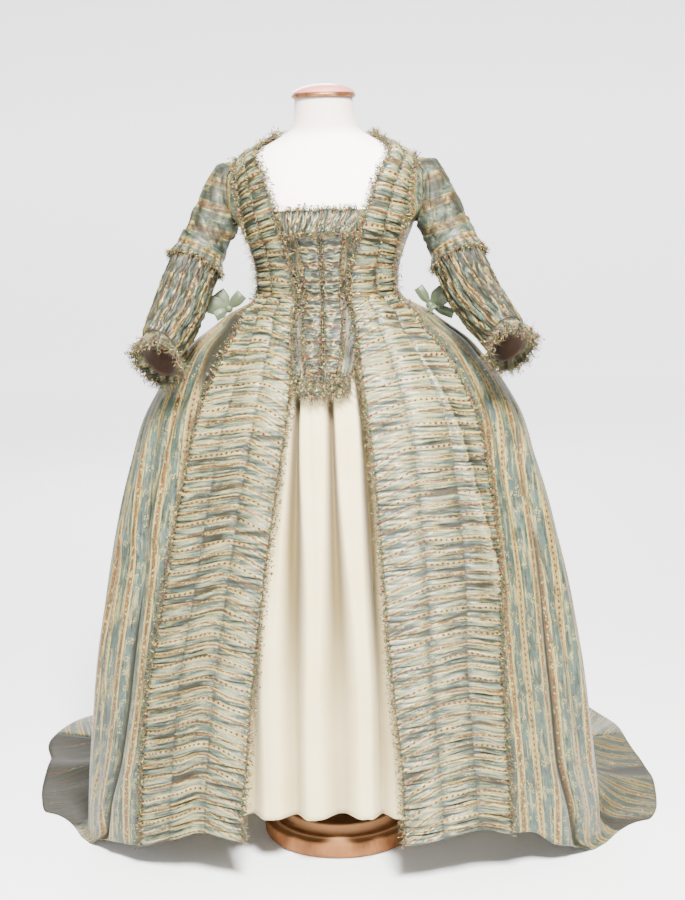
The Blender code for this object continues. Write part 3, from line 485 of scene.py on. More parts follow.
def bumped(height, strength, distance):
    return height.node("ShaderNodeBump", {}, {"Height": height, "Strength": strength,
                                              "Distance": distance})

# %% [markdown]
# ## Striped silk
# The silk repeats every 88 mm across the loom: a wide blue-grey stripe, a cream band with a
# row of red-brown dots, another blue-grey stripe, and a cream band with a small dense vine.
# Every number is in metres of cloth, so the stripes keep their size on every piece. White
# sprigs are strewn very faintly over the blue. The same pattern serves the plain and the
# ruched pieces, and the ruched one has stronger wrinkles in its bump.

# %% Silk
PITCH = .044            # from the middle of one cream band to the next
CREAM_HALF = .01
DOT_STEP = .0108
# The darkest colour stands both for wear and for painted shade in creases and folds. GLEAM is a painted
# highlight.
AQUA, AQUA_DEEP = colour(64, 79, 70), colour(42, 56, 51)
CREAM, PINK_CREAM, GLEAM = colour(154, 141, 84), colour(130, 106, 62), colour(210, 202, 152)
TAN, DOT_RED, SHADE_AND_WEAR = colour(60, 38, 12), colour(50, 18, 3), colour(24, 22, 5)


def silk(name, wrinkle, stretch, roughness, crease, spread, lines):
    """The pattern, its wear, painted shade in creases and folds and a painted highlight on crests.
    Spread widens the dots and lines says how close the creases lie.
    """
    start = finish(name, Roughness=roughness, Sheen_Weight=.02, Sheen_Roughness=.35,
                   Specular_IOR_Level=.4)
    pair, valley = cloth_places(start)
    across, v = pair.parts() % (2 * PITCH), pair.parts().out("Y")
    to_dots = abs(across - PITCH * .5)
    to_vine = abs(across - PITCH * 1.5)
    off = to_dots.math("MINIMUM", to_dots, to_vine)
    slub = noise(pair, 120, 3, .6, (1, .12, 1))
    patchy = noise(pair, 14, 2)
    ground = mixed(patchy.between(.35, .75), AQUA, AQUA_DEEP)
    specks, sprig_place = (start.node("ShaderNodeTexVoronoi", {"voronoi_dimensions": "2D"},
                                      {"Vector": pair, "Scale": scale}) for scale in (240, 42))
    sprig = sprig_place.between(.34, .2) * specks.between(.45, .25) * .75
    ground = mixed(sprig, ground, CREAM)
    ground = mixed(slub.between(.5, .66) * .6, ground, CREAM)
    cream = mixed(off.between(.0052, .004), CREAM, PINK_CREAM)
    line = off.between(.0012 + .0058, .0058) * off.between(.005, .0058)
    edge = off.between(.01, .0094) * off.between(.0082, .009)
    cream = mixed((line + edge * .8) * .75, cream, TAN)
    body = mixed(off.between(CREAM_HALF, CREAM_HALF - .0012), ground, cream)
    along = abs(v % DOT_STEP - DOT_STEP * .5)
    dot = ((to_dots / (.0019 * spread)) ** 2 + (along / .0027) ** 2).between(1.25, .7)
    petals = specks.out("Color").parts("Color")
    tint = petals.node("ShaderNodeValToRGB", {"stops": (
        (0, (70, 26, 5)), (.34, (96, 48, 11)), (.55, (36, 20, 8)), (.76, (42, 52, 20)),
        (.9, (150, 134, 82)))}, {0: petals})
    sway = v.math("SINE", v * (math.tau / .022))
    stem = abs(across - PITCH * 1.5 - sway * .0022)
    leaves = to_vine.between(.0048, .0036) * specks.between(.72, .48)
    vine = leaves.math("MAXIMUM", leaves, stem.between(.0018, .0009) * .7)
    body = mixed((noise(pair, 5, 3) - .5) * .8 + .06, body, SHADE_AND_WEAR)
    # Painted shade in the creases: long thin dark lines and fine dark specks, weighted by crease.
    lines = noise(pair, lines, 4, .65, (1, .16, 1))
    fine_noise = noise(pair, 260, 2, .6, (1, .5, 1))
    body = mixed((lines.between(.5, .62) * .8 + fine_noise.between(.48, .64) * .5) * crease, body, SHADE_AND_WEAR)
    # Painted shade where the piece marks its folds and gathers as shaded, deepening steeply.
    bare = 1 - valley.between(.12, 1.0) * .86
    body = mixed(1 - bare * bare, body, SHADE_AND_WEAR)
    # A painted highlight on the crests, where that mark falls below zero.
    body = mixed(valley.between(0.0, -.5) * .2, body, GLEAM)
    # The vine and the dots go on last, dimmed where the painted shade lies.
    body = mixed(vine * (bare * .6 + .18), body, tint)
    body = mixed(dot * (bare * .4 + .52), body, DOT_RED)
    height = (noise(pair, 900, 2, .5, (1, .35, 1)) * .12 + noise(pair, 46, 4, .6, stretch) * wrinkle
              + slub * .1 - lines.between(.5, .7) * crease * .35)
    feed(start, Base_Color=body, Normal=bumped(height, .75, .003),
         Roughness=(slub - .5) * .22 + valley.between(-.2, .8) * .3 + roughness)


silk("striped_silk", .5, (1.0, .35, 1.0), .38, .72, 1.2, 150)
silk("ruched_silk", 1.2, (1.0, .3, 1.0), .27, 1.0, 2.3, 72)
print("finishes:", list(FINISH))

# %% [markdown]
# ## Plainer cloths
# The petticoat is unbleached cotton or wool, so it is matt with a fine tabby weave. The cuff
# lining is brown linen. The jersey of the form is knitted: its tiny ribs run up and down. The
# bows are grey-green ribbon. Each takes its small bump from its own map, in metres.

# %% Petticoat, lining, jersey and ribbon
for name, light, dark, deep, roughness, scale in (
        ("cream_petticoat", (216, 201, 156), (204, 184, 132), (78, 60, 5), .72, 1400),
        ("brown_lining", (58, 34, 14), (36, 20, 8), (20, 11, 4), .8, 900),
        ("white_jersey", (250, 245, 238), (243, 236, 227), (176, 156, 144), .8, 1100),
        ("hip_bow_silk", (70, 80, 54), (40, 48, 30), (26, 30, 18), .5, 800)):
    start = finish(name, Roughness=roughness, Sheen_Weight=.15, Sheen_Roughness=.5)
    pair, valley = cloth_places(start)
    patchy = noise(pair, 9, 3)
    threads = noise(pair, scale, 2, .5, (1, .25, 1)) + noise(pair, scale, 2, .5, (.25, 1, 1))
    tone = mixed(patchy.between(.3, .75) * .7 + (threads - 1.0) * .5, colour(*light), colour(*dark))
    # Painted shade: each cloth darkens towards its deep colour where the piece marks it as shaded.
    tone = mixed(valley.between(0.0, .85) * .93, tone, colour(*deep))
    rib = noise(pair, 60, 3, .5, (1, .2, 1))
    feed(start, Base_Color=tone, Normal=bumped(threads * .3 + rib * .35, .45, .0012),
         Roughness=(threads - 1.0) * .15 + roughness)

# %% [markdown]
# ## Fringe, wood, cap and rim
# The fly fringe is knotted from floss of many colours. A Voronoi texture on Object coordinates
# gives each small cell one colour, so each strand gets its own. The base is turned wood with
# its rings round the middle, the cap on the neck is lacquered pink, and its rim is dull gilt.

# %% Fringe and hard finishes
start = finish("fly_fringe", Roughness=.68, Sheen_Weight=.2)
place = object_places(start)
which = start.node("ShaderNodeTexVoronoi", {}, {"Vector": place, "Scale": 260}).out("Color").parts("Color")
floss = which.node("ShaderNodeValToRGB", {"stops": (
    (0, (92, 76, 20)), (.2, (42, 64, 14)), (.46, (58, 34, 8)), (.58, (108, 42, 4)), (.7, (22, 18, 5)),
    (.9, (164, 148, 84)))}, {0: which})
feed(start, Base_Color=floss, Roughness=which * .2 + .58,
     Normal=bumped(noise(place, 3000, 2), .3, .0005))

start = finish("turned_wood", Specular_IOR_Level=.15)
place = object_places(start)
grain = noise(place, 30, 5, .6, (1, 9, 1))
tone = mixed(grain.between(.3, .7), colour(136, 90, 54), colour(114, 74, 44))
tone = mixed(noise(place, 9, 2, .5, (1, 4, 2)).between(.45, .7) * .45, tone, colour(92, 56, 32))
# Painted light on the upper tier's side and its groove, lifting them out of the skirts' shadow.
level = place.parts().out("Z")
tone = mixed(level.between(.032, .0345) * level.between(.053, .05) * .8, tone, colour(176, 130, 90))
feed(start, Base_Color=tone, Roughness=grain * .25 + .62, Normal=bumped(grain, .12, .0008))


def hard(name, wear, light, dark, rough, bump, edges=None, fine_noise=None, **constants):
    """Two colours mixed by a noise, which also sets how rough and uneven the finish is."""
    start = finish(name, **constants)
    place = object_places(start)
    wear = noise(place, *wear)
    feed(start, Base_Color=mixed(wear.between(*edges) if edges else wear, colour(*light), colour(*dark)),
         Roughness=wear * rough[0] + rough[1], Normal=bumped(noise(place, *fine_noise) if fine_noise else wear, *bump))


hard("pink_cap", (24, 3), (192, 120, 116), (176, 104, 96), (.2, .28), (.06, .0005), fine_noise=(700, 2),
     Coat_Weight=.35, Coat_Roughness=.2)
hard("gilt_rim", (60, 4), (150, 104, 66), (92, 58, 34), (.3, .25), (.1, .0005), edges=(.35, .7), Metallic=.75)
hard("pole_steel", (300, 3, .6, (1, 1, .05)), (186, 186, 186), (150, 150, 152), (.3, .22), (.08, .0003),
     Metallic=.9)
print("finishes:", len(FINISH))

# %% [markdown]
# ## Sheets of cloth
# Each piece of cloth is a grid of points in rows. From the grid we make a mesh, a UV map in
# metres of cloth so that a stripe has its real width everywhere, and a wall with the Solidify
# modifier. The UV map says how far across the loom (U) and along the cloth (V) a point is.


# %% Grids to cloth
SIDES = ((1, "right"), (-1, "left"))


def ringed(points):
    """A closed grid with its first column laid again at the end."""
    return np.concatenate([points, points[:, :1]], 1)


def normals_of(points, closed=False):
    """Outward normals of a grid whose rows run down and whose turns grow along each row."""
    across = np.roll(points, -1, 1) - np.roll(points, 1, 1) if closed else np.gradient(points, axis=1)
    normal = np.cross(np.gradient(points, axis=0), across)
    inward = closed and (normal * (points - points.mean(1, keepdims=True))).sum() < 0
    return (-1 if inward else 1) * unit(normal)


def lifted(points, height, closed=False):
    return points + normals_of(points, closed) * np.asarray(height)[..., None]


def mirrored(points, closed=False):
    order = np.r_[0, points.shape[1] - 1:0:-1] if closed else np.arange(points.shape[1])[::-1]
    return points[:, order] * np.array([-1, 1, 1.0])


def lengths(points, axis):
    """How far along the cloth each point is, measured over the surface."""
    step = np.linalg.norm(np.diff(points, axis=axis), axis=-1)
    return np.concatenate([np.zeros_like(np.take(step, [0], axis)), np.cumsum(step, axis)], axis)


def cloth_map(points, closed=False, level=None, swap=False, offset=0, waver=0, still=0):
    """U and V in metres of cloth. Level picks the row whose widths set U where the rows are
    narrower, and where they are wider the column still keeps its U."""
    grid = ringed(points) if closed else points
    u = lengths(grid, 1)
    if level is not None:
        step = np.maximum(np.diff(u, axis=1), np.diff(u[level]))
        row = u[level]
        u = np.concatenate([np.zeros((len(u), 1)), np.cumsum(step, 1)], 1)
        u = u - u[:, still, None] + row[still]
    v = lengths(grid, 0).mean(1, keepdims=True) * np.ones(grid.shape[1])
    if swap:
        u, v = v, u
    if waver:
        u = u + waver * wander(u * 18, v * 26, 3) + waver * .5 * wander(u * 60, v * 70, 4)
    return np.stack([u + offset, v], -1)


def quad_mesh(name, grids, closed=False):
    """A quad mesh from grids of points, each with its cloth map."""
    verts, quads, maps = [], [], []
    for points, uv in grids:
        high, wide = points.shape[:2]
        i, j = np.meshgrid(np.arange(high - 1), np.arange(wide if closed else wide - 1), indexing="ij")
        right = (j + 1) % wide
        corners = np.stack([i * wide + j, (i + 1) * wide + j, (i + 1) * wide + right, i * wide + right], -1)
        quads += (corners.reshape(-1, 4) + len(verts)).tolist()
        verts += points.reshape(-1, 3).tolist()
        maps.append(np.stack([uv[i, j], uv[i + 1, j], uv[i + 1, j + 1], uv[i, j + 1]], 2).ravel())
    data = bpy.data.meshes.new(name)
    data.from_pydata(verts, [], quads)
    data.uv_layers.new(name="cloth").data.foreach_set("uv", np.concatenate(maps).astype(np.float32))
    return data


def placed(name, data, slot=None):
    """Puts a mesh in the scene. With a finish it is smooth too."""
    item = bpy.data.objects.new(name, data)
    bpy.context.collection.objects.link(item)
    if slot:
        data.polygons.foreach_set("use_smooth", [True] * len(data.polygons))
        data.materials.append(FINISH[slot])
    return item


def mark_painted_shade(data, values):
    """Stores how much painted shade each point gets, a painted highlight below zero, for the finishes to
    read.
    """
    data.attributes.new("valley", "FLOAT", "POINT").data.foreach_set(
        "value", np.ascontiguousarray(values, dtype=np.float32).ravel())


def walled(item, thickness, offset=-1.0):
    wall = item.modifiers.new("wall", "SOLIDIFY")
    wall.thickness, wall.offset = thickness, offset


def declared(item, node=None):
    """Hangs a finished piece on the root and hides the part that it stands for."""
    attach(item, "root")
    if node:
        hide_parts(node)
    print(item.name, len(item.data.polygons), "faces")


def cloth(name, points, slot, held, node, uv=None, closed=False, wall=WALL, outward=False, gather=1.0,
          valley=None, **mapping):
    """One sheet of cloth: mesh, wall, finish, and what it is declared to be."""
    uv = cloth_map(points, closed, **mapping) if uv is None else uv
    item = placed(name, quad_mesh(name, [(points, uv)], closed), slot)
    if valley is not None:
        mark_painted_shade(item.data, valley)
    walled(item, wall, 1.0 if outward else -1.0)
    grid = ringed(points) if closed else points
    length = float(np.median(lengths(grid, 0)[-1]))
    area = sum(face.area for face in item.data.polygons)
    width = max(float(np.median(lengths(grid, 1)[:, -1])), area / length)
    declared(item, node)
    print("  cut %.2f x %.2f m" % (width, length * gather))

# %% [markdown]
# ## The form and its stand
# The gown rests on a limbless form covered in white jersey. It is a stack of oval sections, so
# a grid of rings makes it. The stand's base, the cap on the neck and its rim were turned on a
# lathe in real life, and turning an outline round Z is the natural way to model them too.


# %% Form
def form_rings(levels, count=120):
    turns = np.linspace(0, 360, count, endpoint=False)
    turns = np.where(turns > 180, turns - 360, turns)
    rows = []
    for z in levels:
        if z < WAIST:
            row = on_section(FORM_HIPS, turns, z)
        else:
            row = on_section(BODY, turns, z + FORM_INSET.at("drop", z), -FORM_INSET.at("inset", z))
            row[:, 2] = z
        rows.append(row)
    return np.array(rows)


skin = form_rings(np.linspace(1.41, .87, 110))
data = quad_mesh("form_jersey", [(skin, cloth_map(skin, closed=True, level=len(skin) // 2))], closed=True)
form = placed("form_jersey", data, "white_jersey")
work = bmesh.new()
work.from_mesh(data)
bmesh.ops.holes_fill(work, edges=[e for e in work.edges if e.is_boundary])
work.to_mesh(data)
work.free()
# Painted shade on the form's neck, darker towards the cap.
mark_painted_shade(data, .5 * fade(np.array([v.co.z for v in data.vertices]), 1.325, 1.365))
declared(form, "form_torso")

# %% Turned pieces
def turned(name, profile, slot, node):
    """An outline of radius and height, from the axis at the top to the axis at the bottom."""
    work = bmesh.new()
    line = [work.verts.new((radius, 0, z)) for radius, z in profile]
    edges = [work.edges.new(pair) for pair in zip(line, line[1:])]
    bmesh.ops.spin(work, geom=line + edges, axis=(0, 0, 1), cent=(0, 0, 0), steps=96,
                   angle=math.tau, use_duplicate=False)
    bmesh.ops.remove_doubles(work, verts=work.verts[:], dist=1e-5)
    bmesh.ops.recalc_face_normals(work, faces=work.faces[:])
    data = bpy.data.meshes.new(name)
    work.to_mesh(data)
    work.free()
    declared(placed(name, data, slot), node)


def eased(size, *corners):
    """An outline with each inner corner rounded by a few points."""
    line = [corners[0]]
    for trio in zip(corners, corners[1:], corners[2:]):
        before, corner, after = (np.array(p, float) for p in trio)
        back, ahead = np.linalg.norm(corner - before), np.linalg.norm(after - corner)
        reach = min(size, .45 * back, .45 * ahead)
        start, end = corner + (before - corner) / back * reach, corner + (after - corner) / ahead * reach
        line += [tuple(corner_curve(start, corner, end, t)) for t in np.linspace(0, 1, 6)]
    return line + [corners[-1]]


turned("base_wood", eased(.004, (0, .054), (.112, .054), (.112, .034), (.1255, .034), (.1285, .0365),
                          (.133, .0365), (.136, .034), (.151, .0325), (.151, .006), (.145, 0), (0, 0)),
       "turned_wood", "stand_base")
turned("rim_gilt", eased(.0016, (0, 1.4175), (.0578, 1.4173), (.059, 1.4138), (.0578, 1.4103), (0, 1.4103)),
       "gilt_rim", "neck_cap_rim")
dome = [(.0572 * math.sin(a), 1.4178 + .0183 * math.cos(a) ** 1.15)
        for a in np.radians(np.linspace(0, 88, 22))]
turned("cap_pink", dome + [(.0565, 1.4176), (0, 1.4176)], "pink_cap", "neck_cap")
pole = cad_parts["stand_pole"]
pole.data.materials.clear()
pole.data.materials.append(FINISH["pole_steel"])

# %% [markdown]
# ## The petticoat
# It is a plain wide tube, pleated into a waistband. Each pleat is a flat front with a deep
# fold between it and the next. One smooth curve, up at the flat and down at the fold, gives
# the section, and it grows from nothing at the waist. The pleats wander a little as they fall.

# %% Petticoat
PLEATS = np.array((-180, -148, -116, -86, -60, -46, -34, -21.5, -9.2, 2.6, 13.2, 24, 36, 48, 62, 88,
                   118, 150, 180.0))
POINTS_A_PLEAT = 24


def petticoat_points(levels):
    rows, hollows = [], []
    index = np.repeat(np.arange(len(PLEATS) - 1), POINTS_A_PLEAT)
    place = np.tile(np.arange(POINTS_A_PLEAT) / POINTS_A_PLEAT, len(PLEATS) - 1)
    width = np.diff(PLEATS)[index]
    for z in levels:
        grow = fade(z, 1.015, .88)
        wide = blend(.15, .4, fade(z, .9, .4))
        raised = (1 - fade(place, wide, 0)) * (1 - fade(1 - place, wide, 0))
        drift = 1.4 * np.sin(index * 2.3) * fade(z, .9, .3) + .5 * np.sin(z * 9 + index * 1.9) * grow
        turn = PLEATS[index] + width * place + drift * bump(place - .5, .45)
        turn = np.where(turn > 180, turn - 360, turn)
        deep = .003 * fade(z, 1.03, 1.01) + np.where(width < 13, .026, .03) * grow
        crown = .0016 * np.sin(place * math.pi) * grow + .003 * np.sin(index * 1.7) * grow
        crown = crown - .0022 * bump(place - .52 - .12 * np.sin(index + z * 3), .07) * grow
        out = np.where(raised > 0, crown * raised - deep * (1 - raised), -deep)
        ring = on_section(PETTICOAT, turn, np.full(turn.shape, z), out)
        ring[:, 2] = z + .004 * np.sin(np.radians(turn) * 7 + 1) * fade(z, .3, .105)
        # Painted shade deep in each pleat's fold, fainter lower down, and painted shadow beside both trims
        # high up.
        beside = .42 * (bump(turn + 15, 5) + bump(turn - 18, 4)) * fade(z, .52, .8)
        hollows.append((1 - raised) ** .9 * grow * blend(1.0, .45, fade(z, .7, .2)) + beside * grow)
        rows.append(ring)
    return np.array(rows), np.array(hollows)


skirt, hollow = petticoat_points(np.concatenate([np.linspace(1.03, .9, 26), np.linspace(.895, .105, 74)]))
cloth("petticoat_cotton", skirt, "cream_petticoat", "gathered", "petticoat", closed=True, level=-1,
      wall=COTTON_WALL, valley=hollow)
band = form_rings(np.linspace(1.054, 1.0308, 6))
band = lifted(band, np.full(band.shape[:2], .0016), closed=True)
cloth("petticoat_band", band, "cream_petticoat", "stretched", "petticoat_waistband", closed=True,
      wall=COTTON_WALL)

# %% [markdown]
# ## The gown's skirts
# Two fronts, two sides and the back share one surface, so their seams meet whatever the folds
# do. The fronts end at the opening, where the petticoat shows. The loom's width runs round the
# body, so the stripes fall from the waist to the hem.


# %% Skirt panels
SEAM_TURN = .12          # degrees that a seam leaves open on each panel
WIDEST_ROW, KNEE_ROW = -34, 100
ON_LOOM = {"front": (.03, .012), "side": (.016, .04)}     # start of each panel on the loom, left and right


def panel(sign, start, end, columns, gap=0, **rows):
    """A panel of the skirts between two edges, which are functions from a height to a turn."""
    def turn_of(z, share):
        return sign * (blend(start(z), end(z), share) + gap * share)
    return skirt_sheet(turn_of, np.linspace(0, 1, columns)[::sign], **rows)


trims = {}
for sign, side in SIDES:
    edges = RIGHT_EDGES if sign > 0 else LEFT_EDGES
    opening, trim_edge, seam = (partial(edges.at, name) for name in ("opening", "trim", "seam"))
    trims[side] = panel(sign, opening, trim_edge, 58, wall_rows=440, tail_rows=46)
    whole = panel(sign, opening, seam, 72, gap=-SEAM_TURN, wall_rows=130, tail_rows=26)
    flank = panel(sign, lambda z: seam(z) + SEAM_TURN, lambda z: SIDE_BACK.at("turn", z) - SEAM_TURN, 150,
                  wall_rows=130)
    # Painted shadow on the train where it lies low at the sides, deeper on the left, added to the painted
    # shade of the folds.
    under = fade(flank[..., 2], .34, .06) * fade(abs(skirt_turn(flank)), 80, 98) * (.9 if sign < 0 else .45)
    for name, shape, level, shade in (("front", whole, WIDEST_ROW, 0.0), ("side", flank, KNEE_ROW, under)):
        cloth(f"{name}_silk_{side}", shape, "striped_silk", "hung", f"skirt_{name}_{side}", level=level,
              offset=ON_LOOM[name][sign > 0], still=0 if sign > 0 else -1,
              valley=np.clip(shade_in_folds(shape, shade), 0, 1))

# %% [markdown]
# ## The sack back
# Two stacked box pleats are sewn down at the neckline and fall free from there, over the hoop
# and into the train. Across the back, `mark` runs from -1 to 1. The pleats are raised between
# marks of about .15 and .75 on both sides, crisp at the neck and soft lower down.

# %% Back
SACK_BULGE = Table(
    "z bulge",
    (.7, .0), (.88, .02), (.965, .052), (1.06, .078), (1.16, .05), (1.25, .02), (1.326, .0))
WALL_ROWS = 120


def sack_turn(z, mark):
    turn = 180 - mark * (180 - SIDE_BACK.at("turn", z))
    return np.where(turn > 180, turn - 360, turn)


def sack_out(mark, z):
    raised = within(abs(mark), .12, .18, .73, .79) - .45 * bump(abs(mark) - .45, .035)
    pleat = raised * blend(.007, .016, fade(z, 1.3, .9)) * (1 - fade(z, .55, .1))
    out = SACK_BULGE.at("bulge", z) * np.sqrt(np.maximum(1 - mark * mark, 0)) + pleat
    return np.stack([0 * out, out, 0 * out], -1)


marks = np.linspace(1, -1, 201)
high_z = np.linspace(1.326, 1.062, 60)[:, None] * np.ones(len(marks))
above = on_section(BODY, sack_turn(high_z, marks), high_z, .0034) + sack_out(marks, high_z)
below = skirt_sheet(sack_turn, marks, wall_rows=WALL_ROWS, tail_rows=70)
wall = below[:WALL_ROWS]
wall_z = wall[..., 2]
turns = sack_turn(wall_z, marks)
way_out = on_section(BODY, turns, WAIST, 1.0) - on_section(BODY, turns, WAIST)
seam_lift = .0028 * (1 - fade(wall_z, 1.04, .98))
below[:WALL_ROWS] = wall + sack_out(marks, wall_z) + way_out * seam_lift[..., None]
back = np.concatenate([above, below])
# The back gets painted shade deep in its folds.
cloth("sack_silk", back, "striped_silk", "gathered", "sack_back", level=150, offset=.022, still=100,
      valley=.8 * fade(fold_depth(sack_turn(back[..., 2], marks), back[..., 2]), -.002, -.015))

# %% [markdown]
# ## Ruching
# A ruched band is cut twice as long as the place it covers, and drawn up on threads that run
# along it. Between the threads the cloth puffs up in small ridges, which lie across the band
# and never line up with those beside them. The stripes of the cloth lie across the band too.


# %% Ruched bands
def ruched(points, threads, height, ridge, seed, base=.0012):
    """Raises a band into ridges between its gathering threads, given as shares across it."""
    high, wide = points.shape[:2]
    across = np.linspace(0, 1, wide)[None, :]
    down = lengths(points, 0).mean(1)[:, None]
    width = lengths(points, 1)[:, -1].mean()
    puff = np.zeros((high, wide))
    number = np.zeros((high, wide))
    for k, (a, b) in enumerate(zip(threads, threads[1:])):
        inside = (across >= a) & (across <= b)
        place = np.clip((across - a) / (b - a), 0, 1)
        puff = np.where(inside, np.sin(math.pi * place) ** .55, puff)
        number = np.where(inside, k, number)
    shift = number * 3.7 + seed * 11.3
    wobble = .35 * wander(across * width / .05 + shift, down / .03, seed)
    ridges = wander(across * width / .085 + shift, down / ridge + wobble, seed + 1)
    fine = wander(across * width / .04 + shift, down / (ridge * .45) + wobble * 2, seed + 2)
    sharp = np.clip(1 - 1.25 * abs(ridges), 0, 1)
    rise = .18 + (.62 * sharp ** 1.3 + .2 * fine)
    row = np.arange(high)[:, None]
    ends = (1 - fade(row, 4, 0)) * (1 - fade(high - 1 - row, 4, 0))
    edge = bump(across, .035) + bump(1 - across, .035)
    rise = rise * puff + edge * (.32 + .34 * np.sin(down / ridge * 2.9 + 2 * wobble))
    # Painted shade between the ridges and a painted highlight on their crests below zero, with deeper painted
    # shade along the threads.
    valley = np.clip(1 - 1.9 * sharp - .5 * fine, -.5, 1) * (.35 + .65 * puff)
    valley = valley + .8 * (1 - puff) ** 2 * (1 - edge)
    return lifted(points, base + height * rise * ends), np.clip(valley, -.5, 1)


def band_map(points, gather, slope, sign, seed):
    """The cloth map of a ruched band: stripes across it, dropping beside its inner edge."""
    down = lengths(points, 0).mean(1)[:, None] * np.ones(points.shape[1])
    across = lengths(points, 1)
    width = across[:, -1:]
    share = across / width if sign > 0 else 1 - across / width
    drop = slope * np.clip(1 - share / .42, 0, 1) ** 1.5
    pull = .0026 * wander(across * 22 + seed, down * 34, seed)
    pull = pull + .0007 * wander(across * 90, down * 90, seed + 5)
    thread = .0042 * wander(share * 3.2 + seed, down * 9, 7)
    u = (down - drop + pull + thread) * gather
    return np.stack([u, across * 1.05], -1)


def painted_crease(turn, z):
    """Painted light along a long crease that slants down the right trim, with painted shadow behind it."""
    past = turn - 46 + 17 * (z - .5)
    crease = within(past, .3, .9, .9, 6) * .5 - bump(past, .5)
    return crease * fade(z, .5, .58) * fade(z, 1.0, .92)


THREADS = (0, .34, .67, 1.0)
RUCHED_GATHER = 1.15
for (sign, side), seed in zip(SIDES, (3, 8)):
    trim = trims[side][4:]
    threads = THREADS if sign > 0 else tuple(1 - t for t in THREADS[::-1])
    trims[side], valley = ruched(trim, threads, .0085, .005, seed)
    turn, z = skirt_turn(trim), trim[..., 2]
    # Painted shade in the gathers and the skirt's folds, the painted light and shadow of the long crease, and
    # a painted highlight near the top of the hips.
    valley = .9 * valley + .5 * fade(fold_depth(turn, z), -.002, -.012) + painted_crease(turn, z)
    cloth("trim_silk_" + side, trims[side], "ruched_silk", "gathered", "skirt_trim_" + side,
          wall=RUCHED_WALL, outward=True, valley=np.clip(valley - .3 * bump(z - .9, .1), -.6, 1),
          uv=band_map(trim, 2.1, .024, sign, seed), gather=RUCHED_GATHER)

# %% [markdown]
# ## The bodice
# Fronts and backs are cut to the body. The edges of each are paths on the body's surface, read
# from a table by a share of the path's length. The robings are ruched bands that run from the
# waist over the shoulders to the back of the neck.

# %% Bodice
FRONT_PATH = Table(
    "share inner_turn inner_z outer_turn outer_z",
    (.0, 23.0, 1.0603, 95.0, 1.0603), (.16, 24.5, 1.105, 95.0, 1.1), (.32, 27.5, 1.16, 95.0, 1.145),
    (.48, 31.0, 1.21, 94.0, 1.178), (.6, 35.0, 1.243, 84.0, 1.203), (.72, 41.5, 1.277, 78.0, 1.235),
    (.85, 57.5, 1.311, 79.0, 1.268), (.93, 74.5, 1.328, 83.0, 1.286), (1.0, 88.7, 1.3365, 88.7, 1.2965))
ROBING_PATH = Table(
    "share inner_turn inner_z outer_turn outer_z",
    (.0, 21.5, 1.053, 69.0, 1.053), (.12, 23.5, 1.105, 65.0, 1.1), (.24, 26.3, 1.16, 62.0, 1.143),
    (.36, 29.5, 1.21, 60.0, 1.186), (.46, 33.5, 1.245, 62.5, 1.222), (.56, 40.0, 1.28, 66.0, 1.252),
    (.67, 56.0, 1.314, 72.0, 1.281), (.75, 74.0, 1.331, 80.0, 1.295), (.82, 90.0, 1.34, 91.0, 1.302),
    (1.0, 137.0, 1.336, 132.0, 1.3))
BACK_PATH = Table(
    "share inner_turn inner_z outer_turn outer_z",
    (.0, 141, 1.0603, 95.5, 1.0603), (.25, 141, 1.12, 95.5, 1.11), (.45, 141, 1.2, 96.5, 1.178),
    (.6, 141, 1.262, 112, 1.205), (.74, 139, 1.303, 117, 1.24), (.88, 122, 1.33, 109, 1.283),
    (1.0, 89.3, 1.3365, 89.3, 1.2965))


def along_path(table, rows, columns, out=0.0):
    """A sheet between the two edges of a path on the body, from top to bottom."""
    share = np.linspace(1, 0, rows)[:, None]
    columns = np.asarray(columns)[None, :]
    turn = blend(table.at("inner_turn", share), table.at("outer_turn", share), columns)
    z = blend(table.at("inner_z", share), table.at("outer_z", share), columns)
    return on_section(BODY, turn, z, out)


def pair_of(points):
    """The right side's sheet, and its mirror image for the left."""
    return zip(SIDES, (points, mirrored(points)))


def seam_reach(points):
    """How far the armhole seam lies outside the body's own section, by height."""
    z = points[..., 2]
    return .016 * fade(z, 1.302, 1.27) * (1 - fade(z, 1.206, 1.18))


front = along_path(FRONT_PATH, 90, np.linspace(0, 1, 40))
front[..., 0] += seam_reach(front) * (1 - fade(np.linspace(0, 1, 40), .92, .45))
behind = along_path(BACK_PATH, 80, np.linspace(1, 0, 34))
for name, node, sheet, offset in (("bodice_silk_", "bodice_front_", front, .006),
                                  ("bodice_back_silk_", "bodice_back_", behind, .01)):
    for (sign, side), points in pair_of(sheet):
        cloth(name + side, points, "striped_silk", "stretched", node + side, level=-1, offset=offset)
robings = {}
strip = along_path(ROBING_PATH, 300, np.linspace(0, 1, 40), .0007)
strip = lifted(strip, .0045 * fade(strip[..., 2], 1.064, 1.053))
for (sign, side), points in pair_of(strip):
    seed = 21 if sign > 0 else 27
    robings[side], valley = ruched(points, (0, .5, 1), .008, .0044, seed, base=.001)
    # Painted shade in the gathers, and the whole robing a little darker and duller.
    cloth("robing_silk_" + side, robings[side], "ruched_silk", "gathered", "robing_" + side,
          wall=RUCHED_WALL, outward=True, valley=np.clip(valley + .2, -.3, 1),
          uv=band_map(points, 1.8, .004, sign, seed), gather=RUCHED_GATHER)

# %% [markdown]
# ## The stomacher front
# Two halves close at the middle of the front. Beside the slit each has a ruched band, and then
# a plain strip. The point of the front runs on below the waist, over the top of the skirts.

# %% Stomacher
STOMACHER_HALF = Table(
    "z turn",
    (.9, 9.5), (.923, 10.5), (.96, 14), (1.0, 19), (1.06, 27), (1.11, 29), (1.16, 32), (1.212, 35.5))


